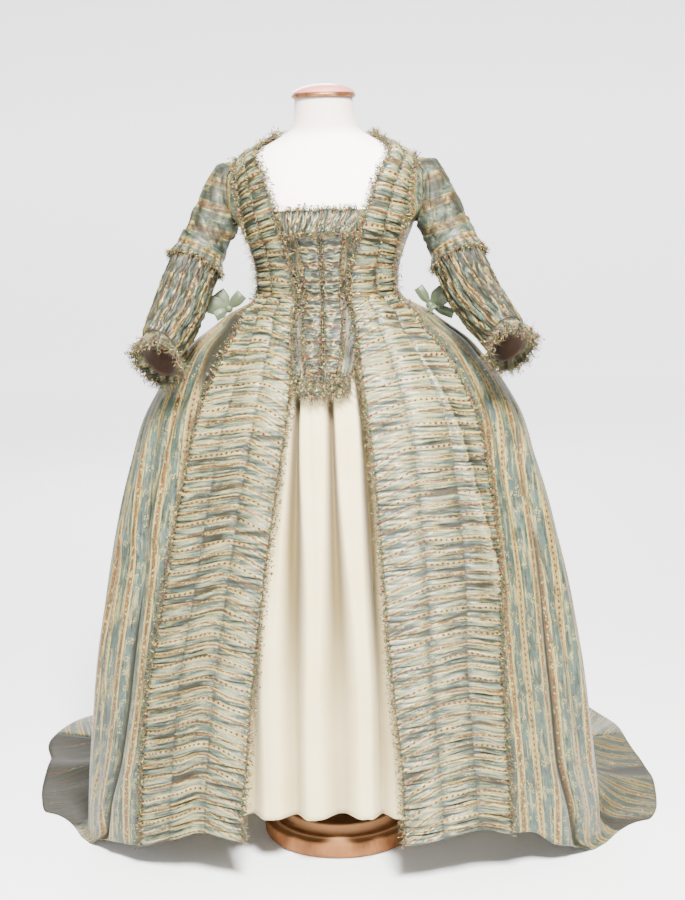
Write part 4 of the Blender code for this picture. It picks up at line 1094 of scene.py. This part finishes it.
def front_point(turn, z, out):
    """On the bodice above the waist, and on the skirts below it."""
    above = on_section(BODY, turn, np.maximum(z, WAIST), out)
    below = on_section(SKIRT, turn, np.minimum(z, WAIST), out)
    return np.where((z >= WAIST)[..., None], above, below)


z = np.linspace(1.21, .923, 280)[:, None] * np.ones(56)
share = np.linspace(0, 1, 56)[None, :]
inset = .0034 + .0014 * fade(z, 1.075, 1.055)
flat_half = front_point(blend(.1, STOMACHER_HALF.at("turn", z), share), z, -inset)
ridges = wander(share * 5, z / .0052 + .5 * wander(share * 6, z / .03, 42), 41)
ridges = np.clip(1 - 1.2 * abs(ridges), 0, 1) * .8 + .2 * wander(share * 11, z / .0026, 43)
strip = within(share, .015, .05, .46, .52)
lift = (.0012 + .0036 * ridges * np.sin(math.pi * np.clip((share - .02) / .48, 0, 1)) ** .5) * strip
lift = lift + .0009 * wander(share * 12, z / .01, 45) * (1 - strip)
lift = lift * fade(z, 1.212, 1.196)
stomacher_top = lifted(flat_half, lift + .001)
# Painted shade between the ridges, at the slit and along the ruched strip's outer edge, with a painted
# highlight on crests; the whole front is darker and duller, the plain strips more so in uneven patches.
hollow = np.clip(1.0 - 1.9 * ridges, -.5, 1) * strip + 1.2 * bump(share, .02) + .9 * bump(share - .5, .02)
hollow = np.clip(hollow + .38 + (1 - strip) * (.2 + .3 * wander(share * 9, z / .03, 44)), -.3, 1)
for (sign, side), points in pair_of(lifted(flat_half, lift)):
    uv = cloth_map(points)
    border = 28 if sign > 0 else 27
    uv[..., 0] = abs(uv[..., 0] - uv[:, border, :1]) * 2 + .012
    ruched_part = (strip > .5)[:, ::sign, None]
    cloth("stomacher_silk_" + side, points, "ruched_silk", "stretched", "stomacher_" + side,
          valley=hollow[:, ::sign], uv=np.where(ruched_part, band_map(points, 1.5, 0, sign, 33), uv))

# %% [markdown]
# ## Frills
# A frill is a strip gathered along one edge. It lies close at its stitching and waves more and
# more towards its free edge, in waves that are all a little different.


# %% Neckline and point frills
def waved(rows, outs, height, waves, rise, seed):
    """Moves rows out by waves that grow from the stitched row to the free one."""
    high, wide = rows.shape[:2]
    grow = np.linspace(0, 1, high)[:, None]
    across = np.linspace(0, waves, wide)[None, :]
    phase = across * math.tau + .9 * wander(across * .7, grow * 0 + seed, seed)
    swing = (.5 + .5 * np.sin(phase)) * (.7 + .3 * wander(across * .5, grow * 0, seed + 1))
    return rows + outs[None] * (grow * (height * swing + rise))[..., None]


def outs_at(turn):
    angle = np.radians(turn)
    return np.stack([np.sin(angle), -np.cos(angle), 0 * angle], -1)


NECK_TURN, POINT_TURN = 23.5, 9.6          # how far round each frill reaches on both sides
share = np.linspace(-1, 1, 300)
drop = np.linspace(0, 1, 16)[:, None]


def crinkled(points, height, pitch, seed, grow):
    """Small gathers that run down a frill, with the painted shade of their valleys for its finish."""
    across = lengths(points, 1)
    ridges = abs(wander(across / pitch, drop * 1.6, seed))
    fine = wander(across / pitch * 2.3, drop * 3, seed + 1)
    lift = height * (1 - ridges) ** 1.4 * grow + height * .3 * fine
    valley = np.clip(2.2 * ridges - .55 + .3 * fine, -.5, 1)
    pull = .004 * wander(across * 60, drop * 2.2, seed + 2)
    uv = np.stack([(across + pull) * 2.1, lengths(points, 0)], -1)
    return lifted(points, lift), valley, uv


turn = NECK_TURN * share[None, :] * np.ones_like(drop)
neck = on_section(BODY, turn, 1.2095 - .0385 * drop + .0015 * np.sin(9 * share), -.0024)
neck = waved(neck, outs_at(NECK_TURN * share), .004, 15, .003, 51)
neck, valley, uv = crinkled(neck, .004, .003, 52, .5 + .5 * drop)
# The neck frill gets painted shade in its gathers and a little more all over.
cloth("neck_frill_silk", neck, "ruched_silk", "gathered", "neckline_frill", wall=FRILL_WALL, outward=True,
      valley=np.clip(valley + .3, -.3, 1), uv=uv, gather=1.2)
turn = POINT_TURN * share[None, :] * np.ones_like(drop)
point = on_section(SKIRT, turn, .9224 - .03 * drop * (1.25 - .5 * share ** 2), -.0044)
point = waved(point, outs_at(POINT_TURN * share), .0075, 8, .003, 55)
point, valley, uv = crinkled(point, .0036, .0036, 57, .6 + .4 * drop)
cloth("point_frill_silk", point, "ruched_silk", "gathered", "stomacher_frill", wall=FRILL_WALL, outward=True,
      valley=valley, uv=uv, gather=1.2)

# %% [markdown]
# ## The sleeves
# Each sleeve is a bent tube, a row of rings that follow the arm. Above the elbow it is plain,
# with the stripes round the arm and small pleats at its head. Below, it is ruched along the
# arm, and it opens into a flared frill over a brown linen lining. The tubes stay empty.

# %% Sleeve tables
UPPER_SLEEVE = Table(
    "share x y z dip lean across depth",
    (.0, .164, .01, 1.24, 6, .0, .056, .04), (.16, .1815, .009, 1.243, 16, .02, .0605, .044),
    (.38, .196, .005, 1.2165, 30, .08, .053, .046), (.6, .212, -.002, 1.186, 43, .15, .047, .045),
    (.8, .223, -.009, 1.1625, 52, .22, .0445, .0445), (1.0, .234, -.016, 1.1405, 60, .3, .0437, .044))
LEFT_LOWER = Table(
    "share x y z dip lean across depth",
    (.0, .237, -.021, 1.132, 66, .33, .043, .0435), (.3, .256, -.062, 1.075, 71, .55, .045, .046),
    (.6, .268, -.105, 1.027, 73, .75, .044, .049), (.85, .282, -.14, .988, 74, .95, .038, .054),
    (1.0, .289, -.158, .966, 75, 1.1, .033, .057))
RIGHT_LOWER = Table(
    "share x y z dip lean across depth",
    (.0, .237, -.021, 1.132, 66, .33, .043, .0435), (.3, .26, -.062, 1.075, 67, .55, .045, .046),
    (.6, .285, -.105, 1.033, 65, .75, .043, .048), (.85, .312, -.14, 1.001, 62, .9, .037, .05),
    (1.0, .327, -.158, .981, 60, 1.0, .033, .052))


def rings(table, shares, count, out=0.0, along=0.0):
    """Rings of a sleeve on the +X side, the first point of each outermost."""
    shares = np.asarray(shares, float)
    out, along = np.broadcast_to(out, shares.shape), np.broadcast_to(along, shares.shape)
    centre = np.stack([table.at(k, shares) for k in "xyz"], -1)
    dip = np.radians(table.at("dip", shares))
    axis = unit(np.stack([np.cos(dip), -table.at("lean", shares), -np.sin(dip)], -1))
    across = unit(np.array([1.0, 0, 0]) - axis * axis[:, :1])
    deep = np.cross(axis, across)
    angle = np.linspace(0, math.tau, count, endpoint=False)[:, None]
    wide = (table.at("across", shares) + out)[:, None, None]
    thick = (table.at("depth", shares) + out)[:, None, None]
    return ((centre + axis * along[:, None])[:, None] + across[:, None] * np.cos(angle) * wide
            + deep[:, None] * np.sin(angle) * thick)


def armhole(count):
    """The sleeve's first ring, just off the side of the bodice."""
    ring = rings(UPPER_SLEEVE, [0], count)[0]
    deep = np.where(ring[:, 1] < 0, BODY.at("front", ring[:, 2]), BODY.at("back", ring[:, 2]))
    ring[:, 0] = BODY.at("half", ring[:, 2]) * np.sqrt(np.maximum(1 - (ring[:, 1] / deep) ** 2, 0)) + .0015
    ring[:, 0] += seam_reach(ring) * fade(ring[:, 1], .012, -.012)
    return ring


# %% Sleeve cloth
ROUND = 200              # points round a sleeve
ANGLE = np.linspace(0, math.tau, ROUND, endpoint=False)[None, :]
CUFF_START = .7


def down_by(rows):
    return np.linspace(0, 1, rows)[:, None]


def upper_sleeve():
    """The plain tube from the armhole to the elbow, smoothed where its head turns down."""
    first, second = armhole(ROUND), rings(UPPER_SLEEVE, [.16], ROUND)[0]
    head = np.array([blend(first, second, t) for t in np.linspace(0, 1, 10)[:-1]])
    tube = np.concatenate([head, rings(UPPER_SLEEVE, np.linspace(.16, 1, 56), ROUND)])
    for _ in range(30):
        tube[1:26] = tube[1:26] * .5 + (tube[:25] + tube[2:27]) * .25
    return tube


def upper_folds(down, sign):
    """Small pleats at the head, and drags in the cloth that wander round the arm."""
    from_top = (ANGLE + .35) % math.tau
    top_side = bump(from_top - math.tau * (from_top > math.pi), 1.0)
    pleats = .0016 * np.sin(ANGLE * 22) * top_side * (1 - fade(down, .03, .3)) * fade(down, 0, .05)
    drag = .0034 * wander(ANGLE * 1.6 + 5 * down + sign, down * 5, 61)
    drag = drag - .0026 * np.clip(1 - 3 * abs(wander(ANGLE * 2.2 - 6 * down, down * 6, 62)), 0, 1)
    drag = drag + .0012 * wander(ANGLE * 6 + 4 * down, down * 16, 63)
    return pleats + drag * fade(down, 0, .12) * fade(down, 1, .93)


# Painted shade in wandering patches round the upper sleeve, deeper on the right sleeve; the same patches make
# the silk duller.
def dull_and_shaded_patches(down, sign):
    dull = .54 + .1 * (sign > 0) + .42 * wander(ANGLE * 3 + 2 * down, down * 9, 64)
    return np.clip(dull + .15 * wander(ANGLE * 8, down * 30, 65), -.1, 1)


def lower_gathers(down, sign):
    """Gathers along the arm: how far they rise, and how much painted shade their valleys get."""
    ridges = wander(ANGLE * 10.5 + 3 * sign + .5 * wander(ANGLE * 4, down * 14, 70), down * 5, 71)
    ridges = np.where(ANGLE > 6.0, ridges * (math.tau - ANGLE) / (math.tau - 6.0), ridges)
    fine = wander(ANGLE * 24 + 1.2 * wander(ANGLE * 5, down * 20, 74), down * 16, 72)
    rise = .0052 * (1 - abs(ridges)) ** 1.5 + .0014 * fine - .002
    valley = np.clip(2.0 * abs(ridges) + .02 + .4 * fine, -.3, 1) * np.ones_like(down)
    return rise * fade(down, 0, .05) * fade(down, 1, .95), valley


def cuff_lining(table):
    shares = np.linspace(CUFF_START, 1, 20)
    return rings(table, shares, ROUND, np.interp(shares, (.7, .9, 1.0), (-.0066, -.0062, -.0009)),
                 np.interp(shares, (.7, .95, 1.0), (0, 0, .005)))


def elbow_band(table):
    """A short flared band from above the elbow seam to below it, with painted shade in its flutes."""
    before, edge = rings(UPPER_SLEEVE, [.8, 1.0], ROUND)
    keys = np.array([blend(before, edge, .45), edge, *rings(table, [0, 1 / 12], ROUND)])
    place = np.linspace(0, 3, 16)
    k = np.minimum(place.astype(int), 2)
    band = blend(keys[k], keys[k + 1], (place - k)[:, None, None])
    grow = (place / 3)[:, None]
    flare = .0024 + .0052 * fade(grow, .5, 1)
    flare = flare + .0016 * np.sin(ANGLE * 17 + wander(ANGLE * 2, 0 * ANGLE, 80)) * fade(grow, .5, 1)
    return lifted(band, flare, closed=True), .35 + .5 * np.sin(ANGLE * 17) * grow


def cuff_frill(table):
    """The frill at the wrist, which waves more towards its edge and droops on its upper side. It also gives
    its painted shade, deep at the stitching and in its folds.
    """
    reach = down_by(12)
    frill = rings(table, np.ones(12), ROUND, .0002 + .0105 * reach[:, 0] ** .8, .0018 + .015 * reach[:, 0])
    folds = abs(wander(ANGLE * 7, reach * 1.3, 88))
    wave = .005 * reach * np.sin(ANGLE * 12 + 1.4 * wander(ANGLE * 2.5, 0 * ANGLE, 83)) - .002 * folds
    above = np.clip((frill[:, :, 2] - frill[:, :, 2].mean(1, keepdims=True)) / .05, 0, 1)
    frill = lifted(frill, wave + .0014 * wander(ANGLE * 9, reach * 3, 84) * reach, closed=True)
    frill = frill + np.array([0, -.3, -1.0]) * (.013 * above * reach)[..., None]
    return frill, blend(.8, np.clip(1.8 * folds - .2, -.3, .75), np.minimum(reach * 3, 1))


# %% Sleeves
GRAIN_TURN = math.radians(72)
cuffs, elbows = {}, {}
for sign, side in SIDES:
    def turned_to(points):
        return points if sign > 0 else mirrored(points, closed=True)

    def turned_values(values):
        return values if sign > 0 else np.roll(values[:, ::-1], 1, 1)

    table = RIGHT_LOWER if sign > 0 else LEFT_LOWER
    tube = upper_sleeve()
    down = down_by(len(tube))
    shape = turned_to(lifted(tube, upper_folds(down, sign), closed=True))
    uv = cloth_map(shape, closed=True, swap=True)
    uv[..., 0] = ringed(shape) @ np.array([sign * math.cos(GRAIN_TURN), 0, -math.sin(GRAIN_TURN)]) + 1.25
    cloth("upper_sleeve_silk_" + side, shape, "striped_silk", "stretched", "sleeve_upper_" + side,
          closed=True, uv=uv, valley=dull_and_shaded_patches(down, sign))
    tube = rings(table, np.linspace(0, 1, 96), ROUND)
    rise, valley = lower_gathers(down_by(96), sign)
    uv = cloth_map(turned_to(tube), closed=True)
    pull = .006 * wander(uv[..., 1] * 20, uv[..., 0] * 30, 73)
    uv[..., 0] = (uv[..., 0] + pull) * 1.75
    cloth("lower_sleeve_silk_" + side, turned_to(lifted(tube, rise, closed=True)), "ruched_silk", "gathered",
          "sleeve_lower_" + side, closed=True, wall=.001, uv=uv, gather=1.1, valley=turned_values(valley))
    cloth("cuff_linen_" + side, turned_to(cuff_lining(table)), "brown_lining", "stretched",
          "cuff_lining_" + side, closed=True, wall=RUCHED_WALL)
    band, valley = elbow_band(table)
    elbows[side] = turned_to(band)
    cloth("elbow_band_silk_" + side, elbows[side], "ruched_silk", "gathered", "elbow_band_" + side,
          closed=True, wall=FRILL_WALL, swap=True, gather=1.2, waver=.003, valley=valley)
    frill, hollow = cuff_frill(table)
    cuffs[side] = turned_to(frill)
    cloth("cuff_frill_silk_" + side, cuffs[side], "ruched_silk", "gathered", "cuff_frill_" + side,
          closed=True, wall=FRILL_WALL, uv=cloth_map(cuffs[side], closed=True) * np.array([2.0, 1]),
          gather=1.2, valley=turned_values(hollow))

# %% [markdown]
# ## Hip bows
# A ribbon is tied at each hip, where it once held the skirts up. Each loop is a strip that
# goes out and comes back to the knot, and each tail just goes out. One function draws both: it
# follows a bent line in the air and gives it a width that narrows at the knot.

# %% Bows
RIBBON, KNOT = .028, .0085          # width of the ribbon as cut, radius of the knot
LOOP, TAIL = 26, 14                 # rows along each kind of leaf
BOWS = {                            # how far out, forward and up each leaf ends, its width, its rows
    "right": ((.028, .004, .024, .034, LOOP), (-.022, .002, .034, .018, LOOP),
              (.043, .004, -.017, .018, TAIL), (.006, .02, -.006, .018, LOOP)),
    "left": ((.036, .004, .01, .034, LOOP), (.022, -.004, .03, .03, LOOP),
             (-.027, .002, .027, .022, LOOP), (.024, .012, -.013, .02, TAIL))}


def ribbon(centre, tip, width, rows):
    """A loop or a tail of ribbon from a knot, as a grid of points."""
    s = np.linspace(0, 1, rows)
    length = np.linalg.norm(tip)
    along = tip / length
    flat = unit(np.array([0, -1.0, 0]) + along * along[1])
    reach = np.sin(math.pi * s) if rows == LOOP else s
    rise = .0045 * np.sin(math.tau * s) if rows == LOOP else .003 * np.sin(3 * s)
    spine = centre + along * (reach * length)[:, None] + flat * rise[:, None]
    narrow = .28 + .72 * fade(reach, 0, .55)
    across = np.linspace(-.5, .5, 9)[None, :, None] * (width * narrow)[:, None, None]
    cup = .0016 * np.cos(np.linspace(-math.pi, math.pi, 9))[None, :, None] * narrow[:, None, None]
    return spine[:, None] + np.cross(flat, along) * across + flat * cup


for sign, side in SIDES:
    knot = on_section(SKIRT, 90 * sign, 1.022) + np.array([.54 * sign, 0, .84]) * .0087
    leaves = [ribbon(knot, np.array([out * sign, -forward, up]), width, rows)
              for out, forward, up, width, rows in BOWS[side]]
    data = quad_mesh("bow_ribbon_" + side, [(leaf, cloth_map(leaf)) for leaf in leaves])
    work = bmesh.new()
    work.from_mesh(data)
    ball = bmesh.ops.create_uvsphere(work, u_segments=20, v_segments=14, radius=KNOT)["verts"]
    bmesh.ops.scale(work, vec=(1, .75, .9), verts=ball)
    bmesh.ops.translate(work, vec=Vector(knot), verts=ball)
    work.to_mesh(data)
    work.free()
    bow = placed(data.name, data, "hip_bow_silk")
    walled(bow, .0006)
    declared(bow, "hip_bow_" + side)
    "skirt_side_" + side

# %% [markdown]
# ## Fly fringe
# The fringe is the gown's sharpest detail: short knotted floss in many colours along each
# ruched edge. It repeats along a path, which is what Geometry Nodes are for. The tree below
# takes a line of points with a direction in the attribute `out`, lays strands at even steps
# along it, turns each one a little from its neighbours, and gives back plain faces.


# %% The fringe tree
INPUTS = {"Geometry": "Geometry", "Step": "Float", "Length": "Float", "Thickness": "Float", "Spread": "Float",
          "Tuft": "Float", "Tuft Step": "Float", "Seed": "Int", "Finish": "Material"}


def fringe_tree():
    tree = bpy.data.node_groups.new("fly fringe", "GeometryNodeTree")
    for name, kind in INPUTS.items():
        tree.interface.new_socket(name, in_out="INPUT", socket_type="NodeSocket" + kind)
    tree.interface.new_socket("Geometry", in_out="OUTPUT", socket_type="NodeSocketGeometry")
    edge, step, length, thickness, spread, tuft, tuft_step, seed, finish_given = (
        Socket(tree, socket) for socket in tree.nodes.new("NodeGroupInput").outputs[:len(INPUTS)])
    node = edge.node

    def scaled(vector, by):
        return node("ShaderNodeVectorMath", {"operation": "SCALE"}, {0: vector, "Scale": by})

    def scatter(low, high):
        return node("FunctionNodeRandomValue", {"data_type": "FLOAT_VECTOR"}, {0: low, 1: high, "Seed": seed})

    def along(line, distance):
        return node("GeometryNodeResampleCurve", {"mode": "LENGTH"}, {"Curve": line, "Length": distance})

    def laid(points, piece, turn, size):
        return node("GeometryNodeInstanceOnPoints", {}, {
            "Points": points, "Instance": piece, "Rotation": turn, "Scale": size})

    curve = node("GeometryNodeMeshToCurve", {}, {"Mesh": edge})
    out = node("GeometryNodeInputNamedAttribute", {"data_type": "FLOAT_VECTOR"}, {"Name": "out"})
    most = scaled((1.0, 1.0, 1.0), spread)
    way = node("ShaderNodeVectorMath", {"operation": "ADD"}, {0: out, 1: scatter(scaled(most, -1.0), most)})
    aim = node("FunctionNodeAlignRotationToVector", {"axis": "Z"}, {"Vector": way})
    size = node("FunctionNodeRandomValue", {"data_type": "FLOAT"}, {2: .45, 3: 1.15, "Seed": seed}, 1)
    strand = node("GeometryNodeMeshCone", {"fill_type": "NGON"}, {
        "Vertices": 3, "Side Segments": 3, "Radius Top": .0001, "Radius Bottom": thickness, "Depth": length})
    share = node("GeometryNodeInputPosition").parts().out("Z") / length
    sideways = node("ShaderNodeCombineXYZ", {}, {0: share * share * length * .45})
    bent = node("GeometryNodeSetPosition", {}, {"Geometry": strand, "Offset": sideways})
    strands = laid(along(curve, step), bent, aim, size)
    strands = node("GeometryNodeRotateInstances", {}, {
        "Instances": strands, "Rotation": scatter((0, 0, -3.1), (0, 0, 3.1))})
    strewn = node("GeometryNodeSetPosition", {}, {
        "Geometry": along(curve, tuft_step), "Offset": scaled(scaled(way, .55), length)})
    ball = node("GeometryNodeMeshIcoSphere", {}, {"Radius": tuft, "Subdivisions": 1})
    tufts = laid(strewn, ball, scatter((0, 0, 0), (6.3, 6.3, 6.3)), scatter((.2, .2, .5), (.9, .9, 2.6)))
    both = node("GeometryNodeJoinGeometry", {}, {0: strands})
    tree.links.new(tufts.socket, both.socket.node.inputs[0])
    real = node("GeometryNodeRealizeInstances", {}, {0: both})
    dressed = node("GeometryNodeSetMaterial", {}, {"Geometry": real, "Material": finish_given})
    tree.links.new(dressed.socket, tree.nodes.new("NodeGroupOutput").inputs[0])
    return tree


FRINGE_TREE = fringe_tree()
FRINGE_INPUTS = {item.name: item.identifier for item in FRINGE_TREE.interface.items_tree
                 if item.in_out == "INPUT"}
print("fringe tree:", len(FRINGE_TREE.nodes), "nodes")

# %% Laying fringe along edges
FRINGE_SIZES = {"length": .013, "step": .0009, "spread": 1.0, "thickness": .0008, "tuft": .0017,
                "tuft_step": .0026}


def fringe(name, paths, node=None, **sizes):
    """Strands along several edges. Each path is its points, their directions and if it is closed."""
    verts, edges = [], []
    for points, ways, closed in paths:
        first, count = len(verts), len(points)
        verts += points.tolist()
        edges += [(first + k, first + (k + 1) % count) for k in range(count if closed else count - 1)]
    data = bpy.data.meshes.new(name)
    data.from_pydata(verts, edges, [])
    data.attributes.new("out", "FLOAT_VECTOR", "POINT").data.foreach_set(
        "vector", np.concatenate([ways for _, ways, _ in paths]).astype(np.float32).ravel())
    line = placed(name + "_line", data)
    grown = line.modifiers.new("fringe", "NODES")
    grown.node_group = FRINGE_TREE
    for key, value in {**FRINGE_SIZES, **sizes, "finish": FINISH["fly_fringe"]}.items():
        grown[FRINGE_INPUTS[key.replace("_", " ").title()]] = value
    bpy.context.view_layer.update()
    mesh = bpy.data.meshes.new_from_object(line.evaluated_get(bpy.context.evaluated_depsgraph_get()))
    bpy.data.objects.remove(line)
    mesh.name = name
    declared(placed(name, mesh), node)


def edge_of(points, column, inward, lift=.5):
    """An edge of a sheet and the way off it: outwards in the sheet, and a little up from it."""
    way = unit(points[:, column] - points[:, inward])
    up = normals_of(points)[:, column]
    return points[:, column] + up * .0008, unit(way + up * lift), False


def both_ways(line, out):
    """A path on the right half, and its mirror image on the left."""
    for way in (1, -1):
        flip = np.array([way, 1, 1.0])
        yield line * flip, np.ones_like(line) * out * flip, False


for sign, side in SIDES:
    inner, outer, in_start, out_start = (0, -1, 3, -4) if sign > 0 else (-1, 0, -4, 3)
    trim, robing, band, frill = trims[side], robings[side], elbows[side], cuffs[side]
    fringe("opening_floss_" + side, [edge_of(trim, inner, in_start)], "opening_fringe_" + side,
           seed=11 + sign)
    fringe("trim_floss_" + side, [edge_of(trim, outer, out_start, .8)], seed=14 + sign)
    both = [edge_of(robing, inner, in_start, .8), edge_of(robing, outer, out_start, .8)]
    fringe("robing_floss_" + side, both, length=.014, step=.0008, seed=18 + sign)
    up = normals_of(robing)[:, 20]
    fringe("robing_tufts_" + side, [(robing[:, 20] + up * .001, up, False)], length=.006, step=.003,
           tuft_step=.005, seed=41 + sign)
    off = unit(unit(band[-1] - band[-4]) + normals_of(band, True)[-1] * .6)
    fringe("elbow_floss_" + side, [(band[-1], off, True)], "elbow_fringe_" + side, length=.011, step=.0005,
           thickness=.0009, tuft_step=.006, seed=22 + sign)
    fringe("cuff_floss_" + side, [(frill[-1], unit(frill[-1] - frill[-4]), True)], "cuff_fringe_" + side,
           length=.017, step=.0006, spread=.9, seed=25 + sign)
UP, DOWN = np.array([0, 0, 1.0]), np.array([0, 0, -1.0])
neck_outs, point_outs = outs_at(NECK_TURN * share), outs_at(POINT_TURN * share)
neck_paths = [(neck[0] + neck_outs * .001, unit(neck_outs * .5 + UP), False),
              (neck[-1], unit(neck_outs * .8 + DOWN), False)]
point_paths = [(point[k], unit(point_outs + DOWN * .6), False) for k in (2, 5, 8, 12)]
point_paths.append((point[-1], unit(point_outs * .5 + DOWN), False))
for k in (-1, 27, 3):
    point_paths += both_ways(stomacher_top[-70:, k], unit(np.array([.35, -.6, -.8])))
slit_paths = [*both_ways(stomacher_top[30:, 2], np.array([0, -1.0, 0])),
              *both_ways(stomacher_top[30:, 27], np.array([.6, -1.0, 0]))]
fringe("neck_floss", neck_paths, length=.011, step=.0006, tuft_step=.0024, seed=31)
fringe("point_floss", point_paths, length=.018, step=.0008, thickness=.0009, tuft_step=.006, seed=33)
fringe("slit_floss", slit_paths, length=.006, step=.0016, tuft_step=.0034, seed=35)

# %% [markdown]
# ## Light and floor
# A pale sweep of paper carries the gown. Its far part glows, painted light that keeps the backdrop
# bright, and it is painted darker towards the top. A strong soft lamp from the front right gives
# the silk its sheen, and a weaker one fills from the left. One low down lights the hem, one above
# lifts the shoulders, and one behind keeps the back from going dark.

# %% Studio
data = bpy.data.meshes.new("paper_sweep")
arc = [(-9.0, 0.0)] + [(7.4 + 1.6 * math.sin(a), 1.6 - 1.6 * math.cos(a)) for a in
                       np.linspace(0, math.pi / 2, 24)] + [(9.0, 10.0)]
data.from_pydata([(x, y, z - .0004) for y, z in arc for x in (-12.0, 12.0)], [],
                 [(2 * k, 2 * k + 1, 2 * k + 3, 2 * k + 2) for k in range(len(arc) - 1)])
start = finish("paper", Roughness=.9, Emission_Strength=1.9)
place = object_places(start)
# The paper is painted darker towards the top, and glows more the farther back it lies: painted light that
# keeps the backdrop bright.
height = place.parts().out("Z") + noise(place, 2, 2) * .2
paper = mixed(height.between(.1, 5.5), colour(246, 247, 248), colour(198, 198, 200))
lit = place.parts().out("Y").between(.3, 5.0)
feed(start, Base_Color=paper, Emission_Color=mixed(lit, colour(20, 20, 20), paper))
placed("paper_sweep", data, "paper")


def soft_lamp(name, place, target, width, height, power, tint=(1, 1, 1)):
    lamp = bpy.data.lights.new(name, "AREA")
    lamp.shape = "RECTANGLE"
    lamp.size, lamp.size_y, lamp.energy, lamp.color = width, height, power, tint
    item = bpy.data.objects.new(name, lamp)
    away = Vector(place) - Vector(target)
    item.matrix_world = Matrix.Translation(place) @ away.to_track_quat("Z", "Y").to_matrix().to_4x4()
    bpy.context.collection.objects.link(item)


soft_lamp("key", (.6, -2.7, 3.5), (0, 0, .75), .8, .9, 1100, (1.0, .985, .955))
soft_lamp("fill", (-2.6, -2.6, 1.6), (0, 0, .7), 1.4, 1.8, 40, (.96, .98, 1.0))
soft_lamp("low", (.1, -3.6, .7), (0, 0, .3), 1.6, .8, 60)
soft_lamp("top", (.2, .1, 3.4), (0, 0, .6), 1.6, 1.4, 60)
soft_lamp("back", (-.9, 3.4, 2.6), (0, .2, .7), 1.6, 1.6, 140)
world = bpy.context.scene.world = bpy.data.worlds.new("studio")
world.use_nodes = True
sky = world.node_tree.nodes["Background"].inputs
sky["Color"].default_value = (*colour(228, 229, 232), 1)
sky["Strength"].default_value = .25
